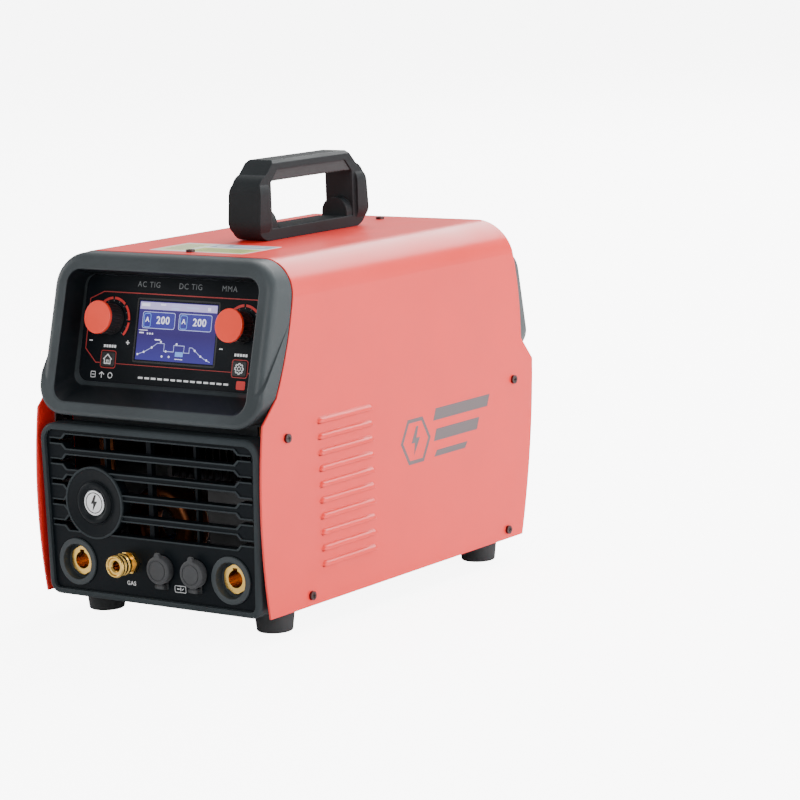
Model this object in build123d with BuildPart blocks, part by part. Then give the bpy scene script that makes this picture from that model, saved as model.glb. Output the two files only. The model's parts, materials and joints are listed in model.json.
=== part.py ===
from build123d import *

import os
from math import cos, radians, sin

os.makedirs("parts", exist_ok=True)

# TIG welding power source, in millimetres.  X points right seen from the front,
# Y runs from the front to the back and Z is up.  The origin lies on the floor,
# under the middle of the whole machine.

# Sheet cover: a U of steel sheet over the top and both sides.
COVER_HALF = 110.0
COVER_BOTTOM = 19.0
COVER_TOP = 282.0
SHEET = 1.5
BEND = 28.0
INNER_HALF = COVER_HALF - SHEET
FIT_GAP = 0.3

# Louvres pressed into both sides.
LOUVRE_MID_Y = -88.0
LOUVRE_LENGTH = 72.0
LOUVRE_ROWS = 10
LOUVRE_LOW_Z = 46.5
LOUVRE_PITCH = 12.2
LOUVRE_RADIUS = 4.5
LOUVRE_WALL = 1.2

# Leaning control hood.
HOOD_LEAN = 15.0
RIM_Y = -179.0
RIM_Z = 218.0
RIM_HALF = 106.0
RIM_LOW = -60.0
RIM_HIGH = 65.9
RIM_ROUND = 8.0
LOW_RIM_HALF = 108.5
LOW_RIM_ROUND = 3.5
HOOD_GAP = 1.3
HOOD_DEPTH = 22.0
HOOD_WALL = 3.0
HOOD_BOTTOM = 160.0
RECESS_HALF = 93.5

# Display panel at the bottom of the hood's recess.
DISPLAY_LEAN = 13.0
DISPLAY_Y = -151.2
DISPLAY_Z = 222.0
PANEL_THICK = 3.0
SCREEN_WIDTH = 77.5
SCREEN_HEIGHT = 46.8
SCREEN_V = 0.9
KNOB_X = 64.0
KNOB_V = 7.8
KNOB_RADIUS = 12.1
KNOB_LENGTH = 16.0
CAP_RADIUS = 12.9
CAP_THICK = 2.6
SHAFT_RADIUS = 3.0
BUTTON_X = 64.3
BUTTON_V = -23.2
BUTTON_WIDTH = 13.0
BUTTON_HEIGHT = 11.4
BUTTON_TRAVEL = 0.8
BOARD_DEPTH = 16.0

# Front grille panel.
GRILLE_Y = -193.0
GRILLE_TOP = 153.3
GRILLE_BOTTOM = 18.4
GRILLE_HALF_TOP = 107.0
GRILLE_HALF_BOTTOM = 103.5
GRILLE_DEPTH = 19.0
FIELD_Y = -190.0
SLOT_ROWS = 5
SLOT_TOP_Z = 139.2
SLOT_PITCH = 16.0
SLOT_HEIGHT = 11.0
SLOT_HALF = 85.6
CHANNEL_HALF = 101.0
CHANNEL_HEIGHT = 3.4
LIP = 1.1

# Front connections: name of the place, then its height.
SOCKET_X = 75.0
SOCKET_Z = 45.5
PLUG_Y = -185.6
SOCKET_BORE = 6.65
SOCKET_BORE_DEPTH = 28.0
FLANGE_RADIUS = 18.4
GAS_X = -22.6
GAS_Z = 50.0
GAS_TIP_Y = -209.5
GAS_BORE = 3.6
SLEEVE_BORE = 6.5
SLEEVE_TRAVEL = 3.5
REMOTE_X = (9.2, 41.5)
REMOTE_Z = 47.7
REMOTE_HINGE_Z = 34.6
REMOTE_HINGE_Y = -193.6
EMBLEM_X = -55.0
EMBLEM_Z = 93.4
EMBLEM_RADIUS = 26.6

# Carrying handle on the top.
HANDLE_Y = 11.0
HANDLE_BASE = COVER_TOP + 0.2
HANDLE_TOP = 344.5
HANDLE_HALF = 72.5
HANDLE_WIDTH = 27.0
PAD_WIDTH = 32.0
GRIP_BOTTOM = 328.4
GRIP_TOP = 337.0
HAND_GAP_HALF = 54.0
BASE_BAR_TOP = 291.0
HANDLE_SCREW_Y = (HANDLE_Y - 50.6, HANDLE_Y + 50.6)

# Rear end.
REAR_LEAN = 11.0
REAR_RIM_Y = 181.0
REAR_RIM_Z = 216.0
REAR_RIM_HALF = 100.0
REAR_PLATE_Y = 154.0
REAR_RECESS = 8.0
REAR_TIP_Y = 209.5
FAN_X = 20.0
FAN_Z = 90.0
FAN_SIZE = 120.0
FAN_DEPTH = 25.0
FAN_BORE = 57.5
SWITCH_X = 62.0
SWITCH_V = 10.0
ROCKER_TILT = 9.0
GLAND_X = -68.0
GLAND_V = -14.0
INLET_X = -76.0
INLET_Z = 52.0

# Feet, tray and screws.
FOOT_X = 83.0
FOOT_Y = (-150.0, 129.0)
TRAY_SHEET = 1.2
TRAY_HALF = INNER_HALF - 0.1
SIDE_SCREWS = ((-161.4, 151.0), (148.0, 150.2), (-138.0, 27.0), (134.0, 26.5))
TOP_SCREW_Y = (-129.5, 121.0)
SCREW_HEAD = 3.5
SCREW_HOLE = 2.1

# Parts inside.
CIRCUIT_Z = 152.0
HEATSINK_BASE_Z = 146.0
VALVE_Y = 96.0
HOSE_X = -88.0
HOSE_Z = 34.0
HOSE_RADIUS = 4.0


def facing_front(y):
    """Plane across the machine: local x is X, local y is Z, normal to the front."""
    return Plane(origin=(0, y, 0), x_dir=(1, 0, 0), z_dir=(0, -1, 0))


def facing_rear(y):
    """Plane across the machine: local x is -X, local y is Z, normal to the back."""
    return Plane(origin=(0, y, 0), x_dir=(-1, 0, 0), z_dir=(0, 1, 0))


def facing_right(x):
    """Plane along the machine: local x is Y, local y is Z, normal to the right."""
    return Plane(origin=(x, 0, 0), x_dir=(0, 1, 0), z_dir=(1, 0, 0))


def leaning(y, z, lean):
    """Front plane that leans back by an angle, so that its top is further back."""
    return Plane(
        origin=(0, y, z), x_dir=(1, 0, 0), z_dir=(0, -cos(radians(lean)), sin(radians(lean)))
    )


rim_plane = leaning(RIM_Y, RIM_Z, HOOD_LEAN)
display_plane = leaning(DISPLAY_Y, DISPLAY_Z, DISPLAY_LEAN)
rear_rim_plane = Plane(
    origin=(0, REAR_RIM_Y, REAR_RIM_Z),
    x_dir=(-1, 0, 0),
    z_dir=(0, cos(radians(REAR_LEAN)), sin(radians(REAR_LEAN))),
)
rear_plate_plane = rear_rim_plane.offset(-REAR_RECESS)


def save(piece, name):
    """Label a finished piece and write it to its own file."""
    piece.part.label = name
    export_step(piece.part, f"parts/{name}.step")


def arch(plane, half_width, bottom, top, radius):
    """Rectangle with rounded upper corners, as the case looks from one end."""
    with BuildSketch(plane) as face:
        with Locations((0, (bottom + top) / 2)):
            Rectangle(2 * half_width, top - bottom)
        fillet(face.vertices().group_by(Axis.Y)[-1], radius)
    return face.sketch


def soft_frame(plane, half_width, bottom, top, low_radius, high_radius):
    """Rectangle whose lower and upper corners are rounded differently."""
    with BuildSketch(plane) as face:
        with Locations((0, (bottom + top) / 2)):
            Rectangle(2 * half_width, top - bottom)
        fillet(face.vertices().group_by(Axis.Y)[-1], high_radius)
        fillet(face.vertices().group_by(Axis.Y)[0], low_radius)
    return face.sketch


def disc(plane, x, y, radius, depth, mode=Mode.ADD):
    """Round boss, or round hole, on a plane; a negative depth goes backwards."""
    with BuildSketch(plane) as face:
        with Locations((x, y)):
            Circle(radius)
    extrude(face.sketch, amount=depth, mode=mode)


def block(plane, x, y, width, height, depth, mode=Mode.ADD):
    """Rectangular block, or pocket, on a plane."""
    with BuildSketch(plane) as face:
        with Locations((x, y)):
            Rectangle(width, height)
    extrude(face.sketch, amount=depth, mode=mode)


# ---------------------------------------------------------------- cover

with BuildPart() as louvre_hood:
    LOUVRE_STRAIGHT = LOUVRE_LENGTH - 2 * LOUVRE_RADIUS
    LOUVRE_INSIDE = LOUVRE_RADIUS - LOUVRE_WALL
    LOUVRE_ENDS = ((0, -LOUVRE_STRAIGHT / 2, 0), (0, LOUVRE_STRAIGHT / 2, 0))
    Cylinder(LOUVRE_RADIUS, LOUVRE_STRAIGHT, rotation=(90, 0, 0))
    with Locations(*LOUVRE_ENDS):
        Sphere(LOUVRE_RADIUS)
    Cylinder(LOUVRE_INSIDE, LOUVRE_STRAIGHT, rotation=(90, 0, 0), mode=Mode.SUBTRACT)
    with Locations(*LOUVRE_ENDS):
        Sphere(LOUVRE_INSIDE, mode=Mode.SUBTRACT)
    split(bisect_by=Plane.XY, keep=Keep.TOP)
    split(bisect_by=Plane.YZ.offset(0.4), keep=Keep.TOP)

left_louvre_hood = mirror(louvre_hood.part, about=Plane.YZ)
louvre_heights = [LOUVRE_LOW_Z + row * LOUVRE_PITCH for row in range(LOUVRE_ROWS)]

with BuildPart() as cover:
    extrude(
        arch(facing_front(0), COVER_HALF, COVER_BOTTOM, COVER_TOP, BEND),
        amount=240, both=True)
    extrude(
        arch(facing_front(0), INNER_HALF, COVER_BOTTOM - 10, COVER_TOP - SHEET, BEND - SHEET),
        amount=250, both=True, mode=Mode.SUBTRACT)
    # The ends of the sheet: cheeks below, a notch, then a leaning edge above.
    with BuildSketch(facing_right(0)):
        with BuildLine():
            Line((156, 10), (-189, 10))
            Line((-189, 10), (-189, COVER_BOTTOM))
            ThreePointArc((-189, COVER_BOTTOM), (-195.2, 105), (-190, 164))
            Line((-190, 164), (-172, 182))
            ThreePointArc((-172, 182), (-154, 227), (-143, 290))
            Line((-143, 290), (140, 290))
            ThreePointArc((140, 290), (156.5, 238), (161.5, 183))
            Line((161.5, 183), (178, 164))
            ThreePointArc((178, 164), (171, 88), (156, COVER_BOTTOM))
            Line((156, COVER_BOTTOM), (156, 10))
        make_face()
    extrude(amount=150, both=True, mode=Mode.INTERSECT)
    # Slots behind the louvres, open from just under each hood's lower edge.
    with BuildSketch(facing_right(0)):
        with Locations(*[(LOUVRE_MID_Y, z) for z in louvre_heights]):
            SlotOverall(LOUVRE_LENGTH - 2 * LOUVRE_WALL, 2 * LOUVRE_INSIDE)
        with Locations(*[(LOUVRE_MID_Y, z - 3.3) for z in louvre_heights]):
            Rectangle(LOUVRE_LENGTH + 4, 5.0, mode=Mode.SUBTRACT)
    extrude(amount=150, both=True, mode=Mode.SUBTRACT)
    with Locations(*[(INNER_HALF, LOUVRE_MID_Y, z) for z in louvre_heights]):
        add(louvre_hood.part)
    with Locations(*[(-INNER_HALF, LOUVRE_MID_Y, z) for z in louvre_heights]):
        add(left_louvre_hood)
    # Screw holes.
    with BuildSketch(facing_right(0)):
        with Locations(*SIDE_SCREWS):
            Circle(SCREW_HOLE)
    extrude(amount=150, both=True, mode=Mode.SUBTRACT)
    with BuildSketch(Plane.XY.offset(COVER_TOP - 5)):
        with Locations(*[(0, y) for y in TOP_SCREW_Y]):
            Circle(SCREW_HOLE)
        with Locations(*[(0, y) for y in HANDLE_SCREW_Y]):
            Circle(3.3)
    extrude(amount=10, mode=Mode.SUBTRACT)
save(cover, "cover")

# Pan-head screws with a cross recess; each plane's normal points out of the head.
screw_planes = [Plane(origin=(s * (COVER_HALF + 0.05), y, z), z_dir=(s, 0, 0))
                for s in (-1, 1) for y, z in SIDE_SCREWS]
screw_planes += [Plane(origin=(0, y, COVER_TOP + 0.05), z_dir=(0, 0, 1)) for y in TOP_SCREW_Y]

with BuildPart() as cover_screws:
    for plane in screw_planes:
        disc(plane, 0, 0, SCREW_HEAD, 1.9)
        disc(plane, 0, 0, SCREW_HOLE - 0.1, -6.0)
    for plane in screw_planes:
        block(plane.offset(1.9), 0, 0, 4.0, 0.9, -1.0, Mode.SUBTRACT)
        block(plane.offset(1.9), 0, 0, 0.9, 4.0, -1.0, Mode.SUBTRACT)
save(cover_screws, "cover_screws")

# ---------------------------------------------------------------- base tray and feet

TRAY_FRONT = -172.0
TRAY_REAR = 150.5

with BuildPart() as base_tray:
    with BuildSketch(Plane.XY.offset(COVER_BOTTOM)):
        with Locations((0, (TRAY_FRONT + TRAY_REAR) / 2)):
            Rectangle(2 * TRAY_HALF, TRAY_REAR - TRAY_FRONT)
    extrude(amount=TRAY_SHEET)
    for side in (-1, 1):
        # A low side flange with a tall ear at each end for the upper screws.
        with BuildSketch(facing_right(side * (TRAY_HALF - TRAY_SHEET / 2))):
            with BuildLine():
                Polyline(
                    (TRAY_FRONT, COVER_BOTTOM), (TRAY_FRONT, 158), (-153, 158), (-150, 45),
                    (120, 45), (136, 158), (168, 158), (168, 140), (TRAY_REAR, 100),
                    (TRAY_REAR, COVER_BOTTOM), close=True,
                )
            make_face()
            with Locations(*SIDE_SCREWS):
                Circle(SCREW_HOLE, mode=Mode.SUBTRACT)
        extrude(amount=TRAY_SHEET / 2, both=True)
    block(facing_front(TRAY_FRONT), 0, 24, 2 * TRAY_HALF, 10, -TRAY_SHEET)
    block(facing_front(TRAY_REAR), 0, 24, 2 * TRAY_HALF, 10, TRAY_SHEET)
    with BuildSketch(Plane.XY.offset(COVER_BOTTOM)):
        with Locations(*[(s * FOOT_X, y) for s in (-1, 1) for y in FOOT_Y]):
            Circle(2.7)
    extrude(amount=TRAY_SHEET, mode=Mode.SUBTRACT)
save(base_tray, "base_tray")

foot_names = {
    "front_left_foot": (-FOOT_X, FOOT_Y[0]),
    "front_right_foot": (FOOT_X, FOOT_Y[0]),
    "rear_left_foot": (-FOOT_X, FOOT_Y[1]),
    "rear_right_foot": (FOOT_X, FOOT_Y[1]),
}
for foot_name, (foot_x, foot_y) in foot_names.items():
    with BuildPart() as foot:
        with BuildSketch(Plane(origin=(foot_x, foot_y, 0), x_dir=(1, 0, 0), z_dir=(0, -1, 0))):
            with BuildLine():
                Polyline((2.7, 4.5), (7, 4.5), (7, 0), (12.4, 0))
                ThreePointArc((12.4, 0), (13.5, 0.5), (14, 1.6))
                Polyline((14, 1.6), (16, COVER_BOTTOM), (2.7, COVER_BOTTOM), (2.7, 4.5))
            make_face()
        revolve(axis=Axis((foot_x, foot_y, 0), (0, 0, 1)))
    save(foot, foot_name)

with BuildPart() as foot_screws:
    for foot_x, foot_y in foot_names.values():
        disc(Plane.XY.offset(4.4), foot_x, foot_y, 5.0, -3.0)
        disc(Plane.XY.offset(4.3), foot_x, foot_y, 2.5, 20.0)
        with BuildSketch(Plane.XY.offset(COVER_BOTTOM + TRAY_SHEET + 0.05)):
            with Locations((foot_x, foot_y)):
                RegularPolygon(4.6, 6)
        extrude(amount=4.0)
save(foot_screws, "foot_screws")

# ---------------------------------------------------------------- control hood

with BuildPart() as hood_flange:
    extrude(
        arch(facing_front(-128), INNER_HALF - FIT_GAP, HOOD_BOTTOM, COVER_TOP - SHEET - 0.2,
             BEND - SHEET - FIT_GAP),
        amount=70,
    )
    split(bisect_by=rim_plane.offset(-HOOD_DEPTH), keep=Keep.BOTTOM)

with BuildPart() as hood_hollow:
    extrude(
        arch(facing_front(-120), INNER_HALF - FIT_GAP - HOOD_WALL, HOOD_BOTTOM + HOOD_WALL,
             COVER_TOP - SHEET - 0.2 - HOOD_WALL, BEND - SHEET - FIT_GAP - HOOD_WALL),
        amount=80,
    )
    split(bisect_by=display_plane, keep=Keep.BOTTOM)

# The hood's upper part has a large soft edge; below a diagonal the edge is sharper
# and the sides stand a little further out.
hood_step_plane = Plane(
    origin=(0, -187.6, 186.0), x_dir=(1, 0, 0), z_dir=(0, -sin(radians(55)), cos(radians(55)))
)

with BuildPart() as hood_upper:
    loft(
        (
            soft_frame(rim_plane.offset(-HOOD_DEPTH), COVER_HALF, -53.8, 72.0, 26, 28.5),
            soft_frame(rim_plane, RIM_HALF, RIM_LOW, RIM_HIGH, 25, 26),
        ),
    )
    rim_face = hood_upper.faces().filter_by(rim_plane).sort_by(Axis.Y)[0]
    fillet(rim_face.outer_wire().edges(), RIM_ROUND)
    split(bisect_by=hood_step_plane, keep=Keep.TOP)

with BuildPart() as hood_lower:
    loft(
        (
            soft_frame(rim_plane.offset(-HOOD_DEPTH), COVER_HALF, -53.8, 72.0, 26, 28.5),
            soft_frame(rim_plane, LOW_RIM_HALF, RIM_LOW, RIM_HIGH, 25, 26),
        ),
    )
    rim_face = hood_lower.faces().filter_by(rim_plane).sort_by(Axis.Y)[0]
    fillet(rim_face.outer_wire().edges(), LOW_RIM_ROUND)
    split(bisect_by=hood_step_plane, keep=Keep.BOTTOM)

with BuildPart() as cover_clearance:
    # The cover's leading edge moved forward by the gap, outside the hood's flange.
    with BuildSketch(facing_right(0)):
        with BuildLine():
            Line((-120, 130), (-190 - HOOD_GAP, 130))
            Line((-190 - HOOD_GAP, 130), (-190 - HOOD_GAP, 164))
            Line((-190 - HOOD_GAP, 164), (-172 - HOOD_GAP, 182))
            ThreePointArc((-172 - HOOD_GAP, 182), (-154 - HOOD_GAP, 227), (-143 - HOOD_GAP, 290))
            Line((-143 - HOOD_GAP, 290), (-120, 290))
            Line((-120, 290), (-120, 130))
        make_face()
    extrude(amount=125, both=True)
    extrude(
        arch(facing_front(-110), INNER_HALF - 2 * FIT_GAP, 120, COVER_TOP - SHEET - 0.5,
             BEND - SHEET - 2 * FIT_GAP),
        amount=100, mode=Mode.SUBTRACT)

with BuildPart() as front_hood:
    add(hood_upper.part)
    add(hood_lower.part)
    add(cover_clearance.part, mode=Mode.SUBTRACT)
    add(hood_flange.part)
    loft(
        (
            soft_frame(rim_plane.offset(1), RECESS_HALF, -50.3, 53.8, 12, 12),
            soft_frame(display_plane.offset(-1), RECESS_HALF - 1, -40.4, 42, 9, 9),
        ),
        mode=Mode.SUBTRACT,
    )
    add(hood_hollow.part, mode=Mode.SUBTRACT)
    recess_edges = [
        edge for edge in front_hood.edges()
        if abs(rim_plane.to_local_coords(edge.center()).Z) < 0.01
        and abs(rim_plane.to_local_coords(edge.center()).X) < RECESS_HALF + 1
        and -51 < rim_plane.to_local_coords(edge.center()).Y < 55
    ]
    fillet(recess_edges, 1.6)
    # A lip under the hood closes the way in above the grille panel.
    with BuildSketch(facing_front(-168.5)):
        with Locations((0, 154)):
            Rectangle(180, 13)
    extrude(amount=2.5)
    # A tab under the cover's top takes the front top screw.
    with BuildSketch(Plane.XY.offset(COVER_TOP - SHEET - 0.2)):
        with Locations((0, -124)):
            Rectangle(26, 22)
    extrude(amount=-HOOD_WALL)
    disc(Plane.XY.offset(COVER_TOP), 0, TOP_SCREW_Y[0], SCREW_HOLE, -10, Mode.SUBTRACT)
save(front_hood, "front_hood")

# ---------------------------------------------------------------- display and controls

with BuildPart() as display_panel:
    extrude(
        soft_frame(display_plane.offset(-0.05), 101, -49, 50, 16, 20),
        amount=-PANEL_THICK)
    block(display_plane, 0, SCREEN_V, SCREEN_WIDTH, SCREEN_HEIGHT, -4, Mode.SUBTRACT)
    for side in (-1, 1):
        disc(display_plane, side * KNOB_X, KNOB_V, 3.8, -4, Mode.SUBTRACT)
        block(display_plane, side * BUTTON_X, BUTTON_V, BUTTON_WIDTH + 0.6,
              BUTTON_HEIGHT + 0.6, -4, Mode.SUBTRACT)
save(display_panel, "display_panel")

with BuildPart() as display_screen:
    block(display_plane.offset(-0.35), 0, SCREEN_V, SCREEN_WIDTH - 0.1, SCREEN_HEIGHT - 0.1, -2.2)
save(display_screen, "display_screen")

with BuildPart() as control_board:
    block(display_plane.offset(-BOARD_DEPTH), 0, 0, 188, 82, -1.6)
    # Display module behind the glass, with a step for its metal frame.
    block(display_plane.offset(-BOARD_DEPTH), 0, SCREEN_V, 88, 58, 8)
    block(display_plane.offset(-BOARD_DEPTH + 8), 0, SCREEN_V, 84, 54, 4.5)
    # Tactile switches under the keys.
    for side in (-1, 1):
        block(display_plane.offset(-BOARD_DEPTH), side * BUTTON_X, BUTTON_V, 6, 6, 4)
        disc(display_plane.offset(-BOARD_DEPTH + 4), side * BUTTON_X, BUTTON_V, 1.6, 1.8)
    # Chips and a cable connector on the back.
    for chip_x, chip_v, chip_w in ((-50, 5, 14), (-10, -8, 20), (35, 8, 12)):
        block(display_plane.offset(-BOARD_DEPTH - 1.6), chip_x, chip_v, chip_w, chip_w, -2.2)
    block(display_plane.offset(-BOARD_DEPTH - 1.6), 66, -30, 30, 7, -8)
save(control_board, "control_board")

with BuildPart() as encoders:
    for side in (-1, 1):
        encoder_x = side * KNOB_X
        block(display_plane.offset(-BOARD_DEPTH + 0.05), encoder_x, KNOB_V, 14, 13, 9.0)
        disc(display_plane.offset(-BOARD_DEPTH + 9), encoder_x, KNOB_V, 3.5, 8.5)
        disc(display_plane.offset(-PANEL_THICK - 0.2), encoder_x, KNOB_V, 5.5, -2.5)
        disc(display_plane.offset(4), encoder_x, KNOB_V, SHAFT_RADIUS + 0.05, -18, Mode.SUBTRACT)
save(encoders, "encoders")

key_names = {"home_button": -BUTTON_X, "settings_button": BUTTON_X}
for key_name, key_x in key_names.items():
    with BuildPart() as key:
        block(display_plane.offset(-3.0), key_x, BUTTON_V, BUTTON_WIDTH, BUTTON_HEIGHT, 3.8)
        fillet(key.edges().filter_by(lambda e: abs(e.length - 3.8) < 0.01), 1.2)
        top_face = key.faces().filter_by(display_plane).sort_by(Axis.Y)[0]
        fillet(top_face.edges(), 0.5)
        disc(display_plane.offset(-2.9), key_x, BUTTON_V, 2.0, -6.2)
    save(key, key_name)

side_names = {"left": -1, "right": 1}
for side_name, side in side_names.items():
    knob_centre = (side * KNOB_X, KNOB_V)
    with BuildPart() as knob_shaft:
        disc(display_plane.offset(13.5), *knob_centre, SHAFT_RADIUS, -26.0)
        block(display_plane.offset(13.5), knob_centre[0], KNOB_V + 2.4, 6, 1.8, -8, Mode.SUBTRACT)
    save(knob_shaft, f"{side_name}_knob_shaft")

    with BuildPart() as knob:
        with BuildSketch(display_plane.offset(0.7)):
            with Locations(knob_centre):
                Circle(KNOB_RADIUS)
        extrude(amount=KNOB_LENGTH - 0.7, taper=1.0)
        with BuildSketch(display_plane.offset(3.2)):
            with Locations(knob_centre):
                with PolarLocations(KNOB_RADIUS + 0.25, 24):
                    Circle(0.75)
        extrude(amount=KNOB_LENGTH - 3.2, mode=Mode.SUBTRACT)
        disc(display_plane.offset(-1), *knob_centre, SHAFT_RADIUS + 0.05, 14.7, Mode.SUBTRACT)
        disc(display_plane.offset(0.7), *knob_centre, 9.0, 6.0, Mode.SUBTRACT)
        disc(display_plane.offset(2.0), *knob_centre, 5.4, 4.7)
        disc(display_plane.offset(0.7), *knob_centre, SHAFT_RADIUS + 0.05, 6.0, Mode.SUBTRACT)
    save(knob, f"{side_name}_knob")

    with BuildPart() as knob_cap:
        disc(display_plane.offset(KNOB_LENGTH + 0.02), *knob_centre, CAP_RADIUS, CAP_THICK)
        front_rim = knob_cap.faces().filter_by(display_plane).sort_by(Axis.Y)[0].edges()
        fillet(front_rim, 0.7)
    save(knob_cap, f"{side_name}_knob_cap")

# ---------------------------------------------------------------- front grille panel


def grille_outline(plane, inset):
    """Front panel outline: wider at the top, with rounded corners."""
    with BuildSketch(plane) as outline:
        with BuildLine():
            Polyline(
                (GRILLE_HALF_TOP - inset, GRILLE_TOP - inset),
                (inset - GRILLE_HALF_TOP, GRILLE_TOP - inset),
                (inset - GRILLE_HALF_BOTTOM, GRILLE_BOTTOM + inset),
                (GRILLE_HALF_BOTTOM - inset, GRILLE_BOTTOM + inset),
                close=True,
            )
        make_face()
        fillet(outline.vertices().group_by(Axis.Y)[-1], 14 - inset)
        fillet(outline.vertices().group_by(Axis.Y)[0], 10 - inset)
    return outline.sketch


slot_heights = [SLOT_TOP_Z - row * SLOT_PITCH for row in range(SLOT_ROWS)]


def slot_outlines(plane, grow):
    """The long slots: a tall middle with cut corners, and a thin channel at each end."""
    with BuildSketch(plane) as slots:
        for z in slot_heights:
            half = SLOT_HALF + grow
            step = SLOT_HEIGHT / 2 - CHANNEL_HEIGHT / 2
            high = SLOT_HEIGHT / 2 + grow
            thin = CHANNEL_HEIGHT / 2 + grow
            with BuildLine():
                Polyline(
                    (-half + step, z + high), (half - step, z + high), (half, z + thin),
                    (CHANNEL_HALF - 3, z + thin), (CHANNEL_HALF - 3, z - thin),
                    (half, z - thin), (half - step, z - high), (-half + step, z - high),
                    (-half, z - thin), (3 - CHANNEL_HALF, z - thin),
                    (3 - CHANNEL_HALF, z + thin), (-half, z + thin), close=True,
                )
            make_face()
    return slots.sketch


with BuildPart() as front_grille:
    extrude(
        grille_outline(facing_front(GRILLE_Y + GRILLE_DEPTH), 0),
        amount=GRILLE_DEPTH)
    outer_face = front_grille.faces().sort_by(Axis.Y)[0]
    fillet(outer_face.edges(), 3.0)
    extrude(
        grille_outline(facing_front(GRILLE_Y), 5.0),
        amount=GRILLE_Y - FIELD_Y, mode=Mode.SUBTRACT)
    # Hollow back: shallow behind the slots, deeper behind the connections.
    extrude(
        grille_outline(facing_front(GRILLE_Y + GRILLE_DEPTH), 3.0),
        amount=8, mode=Mode.SUBTRACT)
    block(facing_front(FIELD_Y + 8), 0, 40, 184, 36, 4, Mode.SUBTRACT)
    # Raised lips round the slots and round the emblem.
    extrude(
        slot_outlines(facing_front(FIELD_Y), LIP),
        amount=0.9)
    disc(facing_front(FIELD_Y), EMBLEM_X, EMBLEM_Z, EMBLEM_RADIUS + 1.6, 2.2)
    extrude(
        slot_outlines(facing_front(FIELD_Y + 12), 0),
        amount=13.5, mode=Mode.SUBTRACT)
    # Boss that closes the slots behind the emblem, then the emblem's seat.
    disc(facing_front(FIELD_Y + 8), EMBLEM_X, EMBLEM_Z, EMBLEM_RADIUS + 1.6, 10.2)
    disc(facing_front(FIELD_Y + 1.5), EMBLEM_X, EMBLEM_Z, EMBLEM_RADIUS + 0.1, 5, Mode.SUBTRACT)
    # Upright ribs across the slots, set back.
    for rib_x, rib_width in ((-48, 2.2), (-5, 4.4), (40, 2.2)):
        block(facing_front(FIELD_Y + 11), rib_x, 106.5, rib_width, 84, 5)
    # Holes for the connections.
    for side in (-1, 1):
        disc(facing_front(GRILLE_Y + 20), side * SOCKET_X, SOCKET_Z, 15.1, 25, Mode.SUBTRACT)
    disc(facing_front(GRILLE_Y + 20), GAS_X, GAS_Z, 5.1, 25, Mode.SUBTRACT)
    for socket_x in REMOTE_X:
        disc(facing_front(GRILLE_Y + 20), socket_x, REMOTE_Z, 8.1, 25, Mode.SUBTRACT)
save(front_grille, "front_grille")

with BuildPart() as emblem_dish:
    # Shallow cone with a raised ring that holds the badge.
    with BuildSketch(Plane(origin=(EMBLEM_X, 0, EMBLEM_Z), x_dir=(1, 0, 0), z_dir=(0, 0, 1))):
        with BuildLine():
            Polyline(
                (0, FIELD_Y + 1.4), (EMBLEM_RADIUS, FIELD_Y + 1.4),
                (EMBLEM_RADIUS, FIELD_Y - 1.7), (EMBLEM_RADIUS - 1.2, FIELD_Y - 1.7),
            )
            Line((EMBLEM_RADIUS - 1.2, FIELD_Y - 1.7), (16.6, FIELD_Y - 0.2))
            ThreePointArc((16.6, FIELD_Y - 0.2), (14.6, FIELD_Y - 3.2), (12.2, FIELD_Y - 2.2))
            Polyline(
                (12.2, FIELD_Y - 2.2), (10.6, FIELD_Y - 1.2), (10.1, FIELD_Y - 1.2),
                (10.1, FIELD_Y - 0.2), (0, FIELD_Y - 0.2), (0, FIELD_Y + 1.4),
            )
        make_face()
    revolve(axis=Axis((EMBLEM_X, 0, EMBLEM_Z), (0, 1, 0)))
save(emblem_dish, "emblem_dish")

with BuildPart() as emblem_badge:
    disc(facing_front(FIELD_Y - 0.25), EMBLEM_X, EMBLEM_Z, 10.0, 1.6)
    fillet(emblem_badge.faces().sort_by(Axis.Y)[0].edges(), 0.5)
save(emblem_badge, "emblem_badge")

# ---------------------------------------------------------------- output sockets

for side_name, side in side_names.items():
    socket_x = side * SOCKET_X
    with BuildPart() as socket_flange:
        disc(facing_front(FIELD_Y - 0.05), socket_x, SOCKET_Z, FLANGE_RADIUS, 1.7)
        fillet(socket_flange.faces().sort_by(Axis.Y)[0].edges(), 0.7)
        disc(facing_front(FIELD_Y - 0.1), socket_x, SOCKET_Z, 15.0, -27)
        disc(facing_front(FIELD_Y - 5), socket_x, SOCKET_Z, 14.0, -11, Mode.SUBTRACT)
        with BuildSketch(facing_front(PLUG_Y + 30)):
            with Locations((socket_x, SOCKET_Z)):
                RegularPolygon(11.2, 6, major_radius=False, rotation=30)
        extrude(amount=40, mode=Mode.SUBTRACT)
    save(socket_flange, f"{side_name}_socket_flange")

    with BuildPart() as socket_insert:
        with BuildSketch(facing_front(PLUG_Y)):
            with Locations((socket_x, SOCKET_Z)):
                RegularPolygon(11.1, 6, major_radius=False, rotation=30)
        extrude(amount=-34)
        with BuildSketch(facing_front(PLUG_Y)):
            with Locations((socket_x, SOCKET_Z)):
                Circle(11.7)
        extrude(amount=-34, mode=Mode.INTERSECT)
        chamfer(socket_insert.faces().sort_by(Axis.Y)[0].edges(), 0.5)
        disc(facing_front(PLUG_Y + 33.9), socket_x, SOCKET_Z, 5.0, -16)
        disc(facing_front(PLUG_Y), socket_x, SOCKET_Z, SOCKET_BORE, -SOCKET_BORE_DEPTH,
             Mode.SUBTRACT)
        # Keyway for the plug's locking lug.
        block(facing_front(PLUG_Y), socket_x, SOCKET_Z + SOCKET_BORE, 4.2, 3.4, -10,
              Mode.SUBTRACT)
    save(socket_insert, f"{side_name}_socket_insert")

# ---------------------------------------------------------------- gas coupler

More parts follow.
